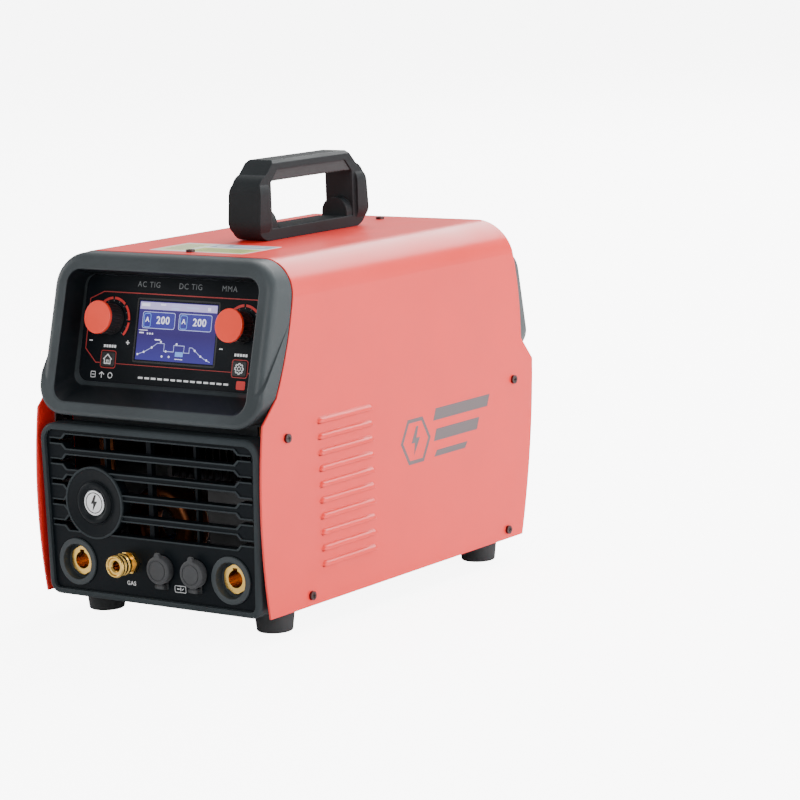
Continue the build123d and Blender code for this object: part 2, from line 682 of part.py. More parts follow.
HEX_FRONT = -193.6
SLEEVE_FRONT = GAS_TIP_Y
SLEEVE_REAR = HEX_FRONT - SLEEVE_TRAVEL - 0.8

with BuildPart() as gas_coupler_body:
    with BuildSketch(facing_front(FIELD_Y - 0.05)):
        with Locations((GAS_X, GAS_Z)):
            RegularPolygon(8.0, 6, major_radius=False)
    extrude(amount=FIELD_Y - HEX_FRONT)
    with BuildSketch(facing_front(FIELD_Y - 0.05)):
        with Locations((GAS_X, GAS_Z)):
            Circle(8.9)
    extrude(amount=8, mode=Mode.INTERSECT)
    disc(facing_front(HEX_FRONT + 0.2), GAS_X, GAS_Z, SLEEVE_BORE - 0.05,
         HEX_FRONT + 0.2 - (SLEEVE_FRONT + 1.2))
    disc(facing_front(FIELD_Y - 0.2), GAS_X, GAS_Z, 5.0, -29)
    disc(facing_front(SLEEVE_FRONT), GAS_X, GAS_Z, GAS_BORE, -20, Mode.SUBTRACT)
    disc(facing_front(SLEEVE_FRONT), GAS_X, GAS_Z, 1.6, -60, Mode.SUBTRACT)
    mouth = gas_coupler_body.faces().sort_by(Axis.Y)[0].inner_wires()[0].edges()
    chamfer(mouth, 1.2)
save(gas_coupler_body, "gas_coupler_body")

with BuildPart() as gas_coupler_sleeve:
    # Stepped ring: two raised bands with a groove between, seen from the side.
    with BuildSketch(Plane(origin=(GAS_X, 0, GAS_Z), x_dir=(1, 0, 0), z_dir=(0, 0, 1))):
        with BuildLine():
            Polyline(
                (SLEEVE_BORE, SLEEVE_REAR), (7.9, SLEEVE_REAR), (8.5, SLEEVE_REAR - 0.6),
                (8.5, SLEEVE_REAR - 2.6), (7.6, SLEEVE_REAR - 3.3), (7.6, SLEEVE_REAR - 4.5),
                (8.5, SLEEVE_REAR - 5.2), (8.5, SLEEVE_REAR - 6.8), (7.7, SLEEVE_REAR - 7.5),
                (7.7, SLEEVE_REAR - 8.3), (8.8, SLEEVE_REAR - 9.0),
                (8.8, SLEEVE_FRONT + 1.2), (8.0, SLEEVE_FRONT), (7.2, SLEEVE_FRONT),
                (SLEEVE_BORE, SLEEVE_FRONT + 1.0), close=True,
            )
        make_face()
    revolve(axis=Axis((GAS_X, 0, GAS_Z), (0, 1, 0)))
save(gas_coupler_sleeve, "gas_coupler_sleeve")

# ---------------------------------------------------------------- remote control sockets

remote_letters = dict(zip("ab", REMOTE_X))
with BuildPart() as remote_sockets:
    for socket_x in REMOTE_X:
        disc(facing_front(FIELD_Y - 0.05), socket_x, REMOTE_Z, 10.4, 1.5)
        disc(facing_front(FIELD_Y - 0.05), socket_x, REMOTE_Z, 8.0, 5.2)
        disc(facing_front(FIELD_Y - 0.1), socket_x, REMOTE_Z, 8.0, -20)
        # Contact holes.
        with BuildSketch(facing_front(FIELD_Y - 5.3)):
            with Locations((socket_x, REMOTE_Z)):
                with PolarLocations(4.4, 5):
                    Circle(0.8)
        extrude(amount=-6, mode=Mode.SUBTRACT)
        # Foot with two ears for the cap's hinge pin.
        block(facing_front(FIELD_Y - 0.05), socket_x, REMOTE_HINGE_Z + 1.4, 10, 6.6, 1.0)
        for side in (-1, 1):
            with BuildSketch(facing_right(socket_x + side * 3.6)):
                with Locations((REMOTE_HINGE_Y, REMOTE_HINGE_Z)):
                    Circle(1.9)
                with Locations(((REMOTE_HINGE_Y + FIELD_Y) / 2 - 0.1, REMOTE_HINGE_Z)):
                    Rectangle(FIELD_Y - REMOTE_HINGE_Y - 0.2, 3.8)
            extrude(amount=0.8, both=True)
        disc(facing_right(socket_x - 3.5), REMOTE_HINGE_Y, REMOTE_HINGE_Z, 0.9, 7.0)
save(remote_sockets, "remote_sockets")

for letter, socket_x in remote_letters.items():
    with BuildPart() as remote_cap:
        disc(facing_front(FIELD_Y - 1.9), socket_x, REMOTE_Z, 10.8, 5.6)
        front_face = remote_cap.faces().sort_by(Axis.Y)[0]
        fillet(front_face.edges(), 1.6)
        # Concentric grooves on the face.
        with BuildSketch(facing_front(FIELD_Y - 7.5)):
            with Locations((socket_x, REMOTE_Z)):
                for groove in (4.0, 7.6):
                    Circle(groove + 0.5)
                    Circle(groove - 0.5, mode=Mode.SUBTRACT)
        extrude(amount=-0.6, mode=Mode.SUBTRACT)
        # Lifting lug at the top.
        with BuildSketch(facing_front(FIELD_Y - 5.0)):
            with Locations((socket_x, REMOTE_Z + 10.8)):
                Trapezoid(7.0, 5.2, 70)
        extrude(amount=2.5)
        disc(facing_front(FIELD_Y - 1.0), socket_x, REMOTE_Z, 8.8, 4.9, Mode.SUBTRACT)
        # Strap down to the hinge barrel.
        block(facing_front(FIELD_Y - 2.4), socket_x, REMOTE_HINGE_Z + 2.0, 5.0, 4.2, 2.2)
        disc(facing_right(socket_x - 2.6), REMOTE_HINGE_Y, REMOTE_HINGE_Z, 1.9, 5.2)
        disc(facing_right(socket_x - 3.0), REMOTE_HINGE_Y, REMOTE_HINGE_Z, 0.96, 6.0,
             Mode.SUBTRACT)
    save(remote_cap, f"remote_cap_{letter}")

# ---------------------------------------------------------------- handle


def handle_outline():
    """The handle seen from the side, without the hand opening."""
    with BuildSketch(facing_right(0)) as outline:
        with BuildLine():
            for s in (-1, 1):
                ThreePointArc(
                    (HANDLE_Y + s * 57, HANDLE_BASE), (HANDLE_Y + s * 68.5, 287),
                    (HANDLE_Y + s * HANDLE_HALF, 298),
                )
                Line((HANDLE_Y + s * HANDLE_HALF, 298), (HANDLE_Y + s * 70.5, 321))
                ThreePointArc(
                    (HANDLE_Y + s * 70.5, 321), (HANDLE_Y + s * 67, 329), (HANDLE_Y + s * 60, 333.5)
                )
                Line((HANDLE_Y + s * 60, 333.5), (HANDLE_Y + s * 49, HANDLE_TOP))
            Line((HANDLE_Y - 49, HANDLE_TOP), (HANDLE_Y + 49, HANDLE_TOP))
            Line((HANDLE_Y - 57, HANDLE_BASE), (HANDLE_Y + 57, HANDLE_BASE))
        make_face()
    return outline.sketch


with BuildPart() as handle_pads:
    # Oval pads at both ends, bulging a little past the sides of the loop.
    extrude(handle_outline(), amount=PAD_WIDTH / 2, both=True)
    with BuildSketch(facing_front(HANDLE_Y)):
        with Locations((0, (HANDLE_BASE + 333) / 2)):
            SlotOverall(333 - HANDLE_BASE + 1.5, PAD_WIDTH, rotation=90)
    extrude(amount=90, both=True, mode=Mode.INTERSECT)
    with Locations((0, HANDLE_Y, 310)):
        Box(60, 116, 80, mode=Mode.SUBTRACT)

with BuildPart() as handle_body:
    extrude(handle_outline(), amount=HANDLE_WIDTH / 2, both=True)
    top_edges = handle_body.edges().filter_by(Axis.Y).group_by(Axis.Z)[-1]
    chamfer(top_edges, 2.5)
    # Hand opening: straight posts, cut corners at the top.
    with BuildSketch(facing_right(0)):
        with BuildLine():
            Polyline(
                (HANDLE_Y - HAND_GAP_HALF, BASE_BAR_TOP), (HANDLE_Y - HAND_GAP_HALF, 327.5),
                (HANDLE_Y - 45, GRIP_TOP), (HANDLE_Y + 45, GRIP_TOP),
                (HANDLE_Y + HAND_GAP_HALF, 327.5), (HANDLE_Y + HAND_GAP_HALF, BASE_BAR_TOP),
                close=True,
            )
        make_face()
    extrude(amount=40, both=True, mode=Mode.SUBTRACT)
    add(handle_pads.part)
    # Half-round screw covers inside the feet of the loop.
    for s in (-1, 1):
        with BuildSketch(facing_front(HANDLE_Y + s * HAND_GAP_HALF)):
            with Locations((0, 294)):
                Circle(12.5)
            with Locations((0, 281)):
                Rectangle(40, 26, mode=Mode.SUBTRACT)
            with Locations((0, 290.5)):
                Rectangle(25, 7)
        extrude(amount=s * 7.5)
    # Screw holes up into the posts.
    with BuildSketch(Plane.XY.offset(HANDLE_BASE)):
        with Locations(*[(0, y) for y in HANDLE_SCREW_Y]):
            Circle(3.1)
    extrude(amount=16, mode=Mode.SUBTRACT)
save(handle_body, "handle_body")

with BuildPart() as handle_grip:
    with BuildSketch(facing_right(0)):
        with BuildLine():
            Polyline(
                (HANDLE_Y - 44.8, GRIP_TOP - 0.05), (HANDLE_Y + 44.8, GRIP_TOP - 0.05),
                (HANDLE_Y + 52.8, GRIP_BOTTOM), (HANDLE_Y - 52.8, GRIP_BOTTOM), close=True,
            )
        make_face()
        # Shallow finger ribs along the underside.
        with Locations(*[(HANDLE_Y - 44 + 4 * i, GRIP_BOTTOM) for i in range(23)]):
            Circle(0.9, mode=Mode.SUBTRACT)
    extrude(amount=HANDLE_WIDTH / 2 - 1.0, both=True)
save(handle_grip, "handle_grip")

with BuildPart() as handle_screws:
    for screw_y in HANDLE_SCREW_Y:
        disc(Plane.XY.offset(COVER_TOP - SHEET - 0.05), 0, screw_y, 5.5, -3.5)
        disc(Plane.XY.offset(COVER_TOP - SHEET - 0.1), 0, screw_y, 3.0, 16)
save(handle_screws, "handle_screws")

# ---------------------------------------------------------------- rear bezel

REAR_BACK = 26.0
rear_back_plane = rear_rim_plane.offset(-REAR_BACK)
FLANGE_HALF = INNER_HALF - FIT_GAP
FLANGE_TOP = COVER_TOP - SHEET - 0.2

with BuildPart() as rear_flange:
    extrude(
        arch(facing_rear(120), FLANGE_HALF, COVER_BOTTOM + 1.5, FLANGE_TOP,
             BEND - SHEET - FIT_GAP),
        amount=80,
    )
    split(bisect_by=rear_back_plane, keep=Keep.BOTTOM)

with BuildPart() as rear_hollow:
    extrude(
        arch(facing_rear(110), FLANGE_HALF - HOOD_WALL, 168, FLANGE_TOP - HOOD_WALL,
             BEND - SHEET - FIT_GAP - HOOD_WALL),
        amount=100,
    )
    split(bisect_by=rear_back_plane, keep=Keep.BOTTOM)
    loft(
        (
            soft_frame(rear_back_plane, FLANGE_HALF - HOOD_WALL - 0.4, -41.5, 66, 17, 24),
            soft_frame(rear_rim_plane.offset(-REAR_RECESS - 3), 99.5, -43.5, 50, 16, 18),
        ),
    )

with BuildPart() as rear_bezel:
    loft(
        (
            soft_frame(rear_back_plane, FLANGE_HALF - 0.3, -46, 69.9, 20, 27.5),
            soft_frame(rear_rim_plane, REAR_RIM_HALF, -47.5, 43, 20, 22),
        ),
    )
    add(rear_flange.part)
    # Below the rear hood there is only a plate, set in from the cheeks.
    block(facing_rear(REAR_PLATE_Y), 0, 92, 240, 148, 60, Mode.SUBTRACT)
    block(facing_rear(REAR_PLATE_Y - 3), 0, 88, 240, 150, -60, Mode.SUBTRACT)
    for side in (-1, 1):
        block(facing_rear(REAR_PLATE_Y - 10), side * 109, 88, 4.4, 150, 12, Mode.SUBTRACT)
    add(rear_hollow.part, mode=Mode.SUBTRACT)
    loft(
        (
            soft_frame(rear_rim_plane.offset(1), 92, -39, 38, 10, 12),
            soft_frame(rear_plate_plane, 91, -38, 37, 9, 11),
        ),
        mode=Mode.SUBTRACT,
    )
    rear_face = rear_bezel.faces().filter_by(rear_rim_plane).sort_by(Axis.Y)[-1]
    fillet(rear_face.outer_wire().edges(), 3.0)
    # Openings for the fan, the power switch, the gland and the gas inlet.
    disc(facing_rear(REAR_PLATE_Y + 1), -FAN_X, FAN_Z, FAN_BORE, -6, Mode.SUBTRACT)
    with BuildSketch(facing_rear(REAR_PLATE_Y + 1)):
        with Locations((-FAN_X, FAN_Z)):
            with GridLocations(105, 105, 2, 2):
                Circle(SCREW_HOLE)
    extrude(amount=-6, mode=Mode.SUBTRACT)
    block(rear_plate_plane, -SWITCH_X, SWITCH_V, 25, 31, -4, Mode.SUBTRACT)
    disc(rear_plate_plane, -GLAND_X, GLAND_V, 10.1, -4, Mode.SUBTRACT)
    disc(facing_rear(REAR_PLATE_Y + 1), -INLET_X, INLET_Z, 6.6, -6, Mode.SUBTRACT)
    # A tab under the cover's top takes the rear top screw.
    with BuildSketch(Plane.XY.offset(COVER_TOP - SHEET - 0.2)):
        with Locations((0, 131.5)):
            Rectangle(26, 35)
    extrude(amount=-HOOD_WALL)
    disc(Plane.XY.offset(COVER_TOP), 0, TOP_SCREW_Y[1], SCREW_HOLE, -10, Mode.SUBTRACT)
save(rear_bezel, "rear_bezel")

# ---------------------------------------------------------------- fan

FAN_FRONT_Y = REAR_PLATE_Y - 3.05 - FAN_DEPTH
FAN_REAR_Y = REAR_PLATE_Y - 3.05

with BuildPart() as fan_frame:
    with BuildSketch(facing_rear(FAN_FRONT_Y)):
        with Locations((-FAN_X, FAN_Z)):
            RectangleRounded(FAN_SIZE, FAN_SIZE, 6)
            Circle(FAN_BORE, mode=Mode.SUBTRACT)
    extrude(amount=FAN_DEPTH)
    # Slim waist between the two flanges, four struts and the motor seat.
    with BuildSketch(facing_rear(FAN_FRONT_Y + 4)):
        with Locations((-FAN_X, FAN_Z)):
            Rectangle(FAN_SIZE + 2, FAN_SIZE + 2)
            Circle(FAN_BORE + 1.6, mode=Mode.SUBTRACT)
    extrude(amount=FAN_DEPTH - 8, mode=Mode.SUBTRACT)
    with BuildSketch(facing_rear(FAN_FRONT_Y)):
        with Locations((-FAN_X, FAN_Z)):
            Circle(20)
            with PolarLocations(0, 4, start_angle=45):
                with Locations((38, 0)):
                    Rectangle(42, 4)
    extrude(amount=3)
    disc(facing_rear(FAN_FRONT_Y + 2.9), -FAN_X, FAN_Z, 2.0, 15)
    with BuildSketch(facing_rear(FAN_FRONT_Y - 1)):
        with Locations((-FAN_X, FAN_Z)):
            with GridLocations(105, 105, 2, 2):
                Circle(SCREW_HOLE)
    extrude(amount=FAN_DEPTH + 2, mode=Mode.SUBTRACT)
save(fan_frame, "fan_frame")

with BuildPart() as fan_rotor:
    disc(facing_rear(FAN_FRONT_Y + 4), -FAN_X, FAN_Z, 21, 18)
    disc(facing_rear(FAN_FRONT_Y + 3.9), -FAN_X, FAN_Z, 18.5, 15, Mode.SUBTRACT)
    disc(facing_rear(FAN_FRONT_Y + 6), -FAN_X, FAN_Z, 3.5, 14)
    disc(facing_rear(FAN_FRONT_Y + 3), -FAN_X, FAN_Z, 2.05, 15.5, Mode.SUBTRACT)
    fan_middle = (FAN_X, FAN_FRONT_Y + 13, FAN_Z)
    for blade in range(7):
        turn = radians(360 / 7 * blade)
        outward = (cos(turn), 0, sin(turn))
        across = (-sin(turn) * cos(radians(38)), sin(radians(38)), cos(turn) * cos(radians(38)))
        blade_plane = Plane(origin=fan_middle, x_dir=outward, z_dir=across)
        with BuildSketch(blade_plane):
            with Locations((37.8, 0)):
                Rectangle(35, 19)
        extrude(amount=0.8, both=True)
save(fan_rotor, "fan_rotor")

with BuildPart() as fan_guard:
    with BuildSketch(facing_rear(REAR_PLATE_Y + 2.2)):
        with Locations((-FAN_X, FAN_Z)):
            for ring in (14, 24, 34, 44, 54):
                Circle(ring + 0.9)
                Circle(ring - 0.9, mode=Mode.SUBTRACT)
            Circle(6)
    extrude(amount=1.8)
    with BuildSketch(facing_rear(REAR_PLATE_Y + 0.1)):
        with Locations((-FAN_X, FAN_Z)):
            with PolarLocations(0, 4, start_angle=45):
                with Locations((40, 0)):
                    Rectangle(76, 2.4)
                with Locations((74.2, 0)):
                    Circle(4.4)
                    Circle(SCREW_HOLE, mode=Mode.SUBTRACT)
    extrude(amount=2.2)
save(fan_guard, "fan_guard")

with BuildPart() as fan_screws:
    for side in (-1, 1):
        for level in (-1, 1):
            screw_x = -FAN_X + side * 52.5
            screw_z = FAN_Z + level * 52.5
            disc(facing_rear(REAR_PLATE_Y + 2.35), screw_x, screw_z, 3.8, 2.0)
            disc(facing_rear(REAR_PLATE_Y + 2.4), screw_x, screw_z, 2.0, -24)
save(fan_screws, "fan_screws")

# ---------------------------------------------------------------- power switch

with BuildPart() as power_switch_frame:
    block(rear_plate_plane.offset(0.05), -SWITCH_X, SWITCH_V, 30, 36, 2.2)
    fillet(power_switch_frame.edges().filter_by(lambda e: abs(e.length - 2.2) < 0.01), 2.5)
    block(rear_plate_plane.offset(0.06), -SWITCH_X, SWITCH_V, 24.8, 30.8, -24)
    block(rear_plate_plane.offset(3), -SWITCH_X, SWITCH_V, 20.8, 26.8, -21, Mode.SUBTRACT)
save(power_switch_frame, "power_switch_frame")

# The rocker turns about a line 3 mm under the plate; it rests tilted to one side.
rocker_axis = rear_plate_plane.offset(-3.0)
rocker_origin = rocker_axis.from_local_coords((-SWITCH_X, SWITCH_V, 0))
rocker_plane = Plane(origin=rocker_origin, x_dir=(0, -sin(radians(REAR_LEAN + ROCKER_TILT)),
                     cos(radians(REAR_LEAN + ROCKER_TILT))), z_dir=(-1, 0, 0))

with BuildPart() as power_switch_rocker:
    with BuildSketch(rocker_plane) as rocker_outline:
        Circle(12.9)
        with BuildLine():
            Polyline((-14, 8.4), (0, 6.2), (14, 8.4), (14, 20), (-14, 20), close=True)
        make_face(mode=Mode.SUBTRACT)
        with Locations((0, -12)):
            Rectangle(30, 12, mode=Mode.SUBTRACT)
    extrude(amount=10.0, both=True)
save(power_switch_rocker, "power_switch_rocker")

# ---------------------------------------------------------------- gland, inlet, label, stud

gland_point = rear_plate_plane.from_local_coords((-GLAND_X, GLAND_V, 0))
GLAND_LENGTH = (REAR_TIP_Y - gland_point.Y - 9.0 * sin(radians(REAR_LEAN))) / cos(radians(REAR_LEAN))

with BuildPart() as mains_gland:
    disc(rear_plate_plane.offset(0.05), -GLAND_X, GLAND_V, 15.0, 1.5)
    with BuildSketch(rear_plate_plane.offset(1.5)):
        with Locations((-GLAND_X, GLAND_V)):
            RegularPolygon(13.2, 6, major_radius=False)
    extrude(amount=5)
    disc(rear_plate_plane.offset(0.1), -GLAND_X, GLAND_V, 10.0, -10)
    disc(rear_plate_plane.offset(6), -GLAND_X, GLAND_V, 11.5, 4)
    disc(rear_plate_plane, -GLAND_X, GLAND_V, 5.5, 12, Mode.SUBTRACT)
    disc(rear_plate_plane.offset(1), -GLAND_X, GLAND_V, 5.5, -12, Mode.SUBTRACT)
save(mains_gland, "mains_gland")

with BuildPart() as mains_gland_nut:
    with BuildSketch(rear_plate_plane.offset(10.1)):
        with Locations((-GLAND_X, GLAND_V)):
            RegularPolygon(13.2, 6, major_radius=False)
    extrude(amount=10)
    with BuildSketch(rear_plate_plane.offset(20.1)):
        with Locations((-GLAND_X, GLAND_V)):
            Circle(12.6)
    with BuildSketch(rear_plate_plane.offset(GLAND_LENGTH)):
        with Locations((-GLAND_X, GLAND_V)):
            Circle(9.0)
    loft()
    disc(rear_plate_plane.offset(5), -GLAND_X, GLAND_V, 5.5, 40, Mode.SUBTRACT)
save(mains_gland_nut, "mains_gland_nut")

with BuildPart() as gas_inlet:
    rear_outside = facing_rear(REAR_PLATE_Y + 0.05)
    with BuildSketch(rear_outside):
        with Locations((-INLET_X, INLET_Z)):
            RegularPolygon(9.5, 6, major_radius=False)
    extrude(amount=7)
    disc(rear_outside, -INLET_X, INLET_Z, 6.5, -16)
    # Plain nipple for the gas hose, with a small lead-in.
    with BuildSketch(Plane(origin=(INLET_X, 0, INLET_Z), x_dir=(1, 0, 0), z_dir=(0, 0, 1))):
        nipple = REAR_PLATE_Y + 7.0
        with BuildLine():
            Polyline(
                (0, nipple), (5.6, nipple), (5.6, nipple + 4), (4.5, nipple + 4),
                (4.5, nipple + 23), (3.7, nipple + 24.5), (0, nipple + 24.5), close=True,
            )
        make_face()
    revolve(axis=Axis((INLET_X, 0, INLET_Z), (0, 1, 0)))
    disc(facing_rear(REAR_PLATE_Y - 20), -INLET_X, INLET_Z, 2.5, 60, Mode.SUBTRACT)
save(gas_inlet, "gas_inlet")

with BuildPart() as rating_plate:
    with BuildSketch(rear_plate_plane.offset(0.03)):
        with Locations((3, 4)):
            RectangleRounded(78, 54, 3)
    extrude(amount=0.5)
save(rating_plate, "rating_plate")

# ---------------------------------------------------------------- inside


def finned_heatsink(x, width, y_front, y_back):
    """Extrusion with its base uppermost and fins hanging into the air duct."""
    block(facing_front(y_back), x, HEATSINK_BASE_Z - 4, width, 8, y_back - y_front)
    fins = int(width // 7)
    with BuildSketch(facing_front(y_back)) as fin_ends:
        with Locations((x, HEATSINK_BASE_Z - 32)):
            with GridLocations(width / fins, 1, fins, 1):
                Rectangle(2.0, 50)
    extrude(fin_ends.sketch, amount=y_back - y_front)


with BuildPart() as inverter_heatsink:
    finned_heatsink(58, 84, -60, 100)
save(inverter_heatsink, "inverter_heatsink")

with BuildPart() as rectifier_heatsink:
    finned_heatsink(-46, 84, -60, 100)
save(rectifier_heatsink, "rectifier_heatsink")

with BuildPart() as power_board:
    with BuildSketch(Plane.XY.offset(CIRCUIT_Z)):
        with Locations((0, 18)):
            Rectangle(204, 200)
    extrude(amount=1.8)
save(power_board, "power_board")

with BuildPart() as power_modules:
    # Flat switching and rectifier modules clamped between board and heatsinks.
    with BuildSketch(Plane.XY.offset(HEATSINK_BASE_Z + 0.05)):
        with Locations(*[(x, y) for x in (58, -46) for y in (-30, 15, 60)]):
            Rectangle(34, 26)
    extrude(amount=CIRCUIT_Z - HEATSINK_BASE_Z - 0.1)
save(power_modules, "power_modules")

with BuildPart() as capacitors:
    with BuildSketch(Plane.XY.offset(CIRCUIT_Z + 1.85)):
        with Locations(*[(x, y) for x in (-60, -20) for y in (-10, 32, 74)]):
            Circle(17.5)
    extrude(amount=50)
    fillet(capacitors.faces().group_by(Axis.Z)[-1].edges(), 2.0)
save(capacitors, "capacitors")

with BuildPart() as igniter_unit:
    with BuildSketch(Plane.XY.offset(CIRCUIT_Z + 1.85)):
        with Locations((62, 60)):
            RectangleRounded(54, 70, 4)
    extrude(amount=42)
    with BuildSketch(Plane.XY.offset(CIRCUIT_Z + 43)):
        with Locations((62, 40), (62, 80)):
            Circle(9)
    extrude(amount=8)
save(igniter_unit, "igniter_unit")

TRANSFORMER_Y = -112.0

with BuildPart() as transformer_core:
    with BuildSketch(facing_right(45 - 24)):
        with Locations((TRANSFORMER_Y, 62)):
            Rectangle(70, 80)
            with Locations((-17, 0), (17, 0)):
                Rectangle(14, 52, mode=Mode.SUBTRACT)
    extrude(amount=48)
save(transformer_core, "transformer_core")

with BuildPart() as transformer_winding:
    with BuildSketch(Plane.XY.offset(37)):
        with Locations((45, TRANSFORMER_Y)):
            RectangleRounded(66, 46, 9)
            Rectangle(48.6, 20.6, mode=Mode.SUBTRACT)
    extrude(amount=50)
save(transformer_winding, "transformer_winding")

with BuildPart() as output_choke:
    with BuildSketch(facing_front(TRANSFORMER_Y + 14)):
        with Locations((-48, 62)):
            Circle(32)
            Circle(16, mode=Mode.SUBTRACT)
    extrude(amount=28)
    fillet(output_choke.edges(), 5)
save(output_choke, "output_choke")

with BuildPart() as choke_mount:
    block(facing_front(TRANSFORMER_Y + 14), -48, COVER_BOTTOM + TRAY_SHEET + 5.0, 60, 9.5, 28)
    disc(facing_front(TRANSFORMER_Y + 16), -48, 62, 32.05, 34, Mode.SUBTRACT)
    block(facing_right(45 - 24), TRANSFORMER_Y, 21.1, 70, 1.7, 48)
save(choke_mount, "coil_mounts")


with BuildPart() as busbars:
    # Copper strips from the backs of the output sockets up to the power board.
    for side in (-1, 1):
        with BuildSketch(facing_right(side * SOCKET_X - 7)):
            with BuildLine():
                Polyline(
                    (-149.0, 36), (-149.0, 154.2), (-66, 154.2), (-66, 156.2), (-151.0, 156.2),
                    (-151.0, 36), close=True,
                )
            make_face()
        extrude(amount=14)
        disc(facing_front(-140), side * SOCKET_X, SOCKET_Z, 5.0, 16, Mode.SUBTRACT)
save(busbars, "busbars")

with BuildPart() as solenoid_valve:
    block(facing_rear(VALVE_Y - 16), -INLET_X, INLET_Z - 4, 26, 22, 32)
    disc(Plane.XY.offset(INLET_Z + 6.9), INLET_X, VALVE_Y, 5.5, 3)
    block(facing_rear(VALVE_Y - 13), -INLET_X, INLET_Z + 22, 26, 26, 26)
    disc(facing_rear(VALVE_Y + 15.9), -INLET_X, INLET_Z, 5.0, 9)
    disc(facing_front(VALVE_Y - 15.9), INLET_X, INLET_Z, 5.0, 8)
save(solenoid_valve, "solenoid_valve")

with BuildPart() as gas_hoses:
    # Short hose from the inlet to the valve, and a long one to the front coupler.
    disc(facing_rear(VALVE_Y + 25.0), -INLET_X, INLET_Z, HOSE_RADIUS, REAR_PLATE_Y - 16 - VALVE_Y - 25.05)
    hose_start = (INLET_X, VALVE_Y - 24.0, INLET_Z)
    with BuildLine() as hose_route:
        FilletPolyline(
            hose_start, (INLET_X, VALVE_Y - 60, INLET_Z), (-96, 0, HOSE_Z), (-96, -80, HOSE_Z),
            (-72, -136, HOSE_Z), (GAS_X, -136, GAS_Z), (GAS_X, -160.9, GAS_Z),
            radius=(50, 60, 60, 25, 12),
        )
    with BuildSketch(Plane(origin=hose_start, z_dir=(0, -1, 0))):
        Circle(HOSE_RADIUS)
    sweep(path=hose_route.line)
save(gas_hoses, "gas_hoses")
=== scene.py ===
import json
import math

import bmesh
import bpy
from mathutils import Matrix, Vector


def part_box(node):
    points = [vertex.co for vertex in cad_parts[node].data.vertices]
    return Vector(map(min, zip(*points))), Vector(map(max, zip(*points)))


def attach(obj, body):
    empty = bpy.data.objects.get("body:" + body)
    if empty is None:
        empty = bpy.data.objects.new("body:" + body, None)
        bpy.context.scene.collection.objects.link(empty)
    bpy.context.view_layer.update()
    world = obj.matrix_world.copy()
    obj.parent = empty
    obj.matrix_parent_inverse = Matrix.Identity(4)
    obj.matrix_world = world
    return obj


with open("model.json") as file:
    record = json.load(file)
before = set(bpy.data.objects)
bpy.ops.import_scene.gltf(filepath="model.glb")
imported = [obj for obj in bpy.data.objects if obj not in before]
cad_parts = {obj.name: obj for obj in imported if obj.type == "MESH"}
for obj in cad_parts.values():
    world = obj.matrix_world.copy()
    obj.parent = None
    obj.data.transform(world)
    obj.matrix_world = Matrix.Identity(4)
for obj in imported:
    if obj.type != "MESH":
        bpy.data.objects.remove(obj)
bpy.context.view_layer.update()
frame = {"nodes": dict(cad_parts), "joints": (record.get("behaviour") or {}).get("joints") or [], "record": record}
RECORD = frame["record"]
JOINTS = {j["name"]: j for j in frame["joints"]}
MM = 0.001

# ------------------------------------------------------------------ camera
# Azimuth from the front towards the right side, elevation and a slight roll.
AZ, EL, ROLL = math.radians(35.17), math.radians(9.19), math.radians(-1.873)
TARGET = Vector((0.1207, -0.0299, 0.1605))
DISTANCE = 2.3028

back = Vector((math.sin(AZ) * math.cos(EL), -math.cos(AZ) * math.cos(EL), math.sin(EL)))
right = (-back).cross(Vector((0, 0, 1))).normalized()
up = right.cross(-back)
rolled_right = right * math.cos(ROLL) + up * math.sin(ROLL)
rolled_up = up * math.cos(ROLL) - right * math.sin(ROLL)
cam_data = bpy.data.cameras.new("camera")
cam_data.lens = 134.07
cam_data.sensor_width = 36.0
cam_data.clip_start = 0.05
cam_data.clip_end = 200.0
camera = bpy.data.objects.new("camera", cam_data)
bpy.context.scene.collection.objects.link(camera)
camera.matrix_world = Matrix.Translation(TARGET + back * DISTANCE) @ Matrix(
    (rolled_right, rolled_up, back)).transposed().to_4x4()
bpy.context.scene.camera = camera

# ------------------------------------------------------------------ floor and light


def new_object(name, bm, material=None):
    mesh = bpy.data.meshes.new(name)
    bmesh.ops.recalc_face_normals(bm, faces=bm.faces)
    bm.to_mesh(mesh)
    bm.free()
    obj = bpy.data.objects.new(name, mesh)
    bpy.context.scene.collection.objects.link(obj)
    if material:
        mesh.materials.append(material)
    return obj


def area_light(name, place, aim, size, power, tint=(1, 1, 1)):
    data = bpy.data.lights.new(name, "AREA")
    data.shape = "RECTANGLE"
    data.size, data.size_y = size
    data.energy = power
    data.color = tint
    obj = bpy.data.objects.new(name, data)
    obj.location = place
    obj.rotation_euler = (Vector(aim) - Vector(place)).to_track_quat("-Z", "Y").to_euler()
    bpy.context.scene.collection.objects.link(obj)


area_light("side", (2.2, 0.5, 0.75), (0, 0, 0.16), (3.0, 1.5), 68)
area_light("overhead", (-0.1, 0.9, 2.4), (0, 0, 0.1), (2.4, 2.0), 62)
area_light("front", (0.5, -3.0, 1.5), (0, 0, 0.1), (1.2, 1.2), 38)
area_light("left", (-2.6, -0.8, 0.9), (0, 0, 0.15), (1.4, 1.2), 22)
area_light("floor_wash", (0.0, 4.5, 3.0), (0, 3.0, 0.0), (5.0, 2.0), 330)

world = bpy.data.worlds.new("world")
bpy.context.scene.world = world
world.use_nodes = True
world.node_tree.nodes["Background"].inputs["Color"].default_value = (1, 1, 1, 1)
world.node_tree.nodes["Background"].inputs["Strength"].default_value = 0.45

# ------------------------------------------------------------------ materials


def node(tree, kind, **values):
    made = tree.nodes.new(kind)
    for key, value in values.items():
        setattr(made, key, value)
    return made


def principled(mat):
    return [n for n in mat.node_tree.nodes if n.type == "BSDF_PRINCIPLED"][0]


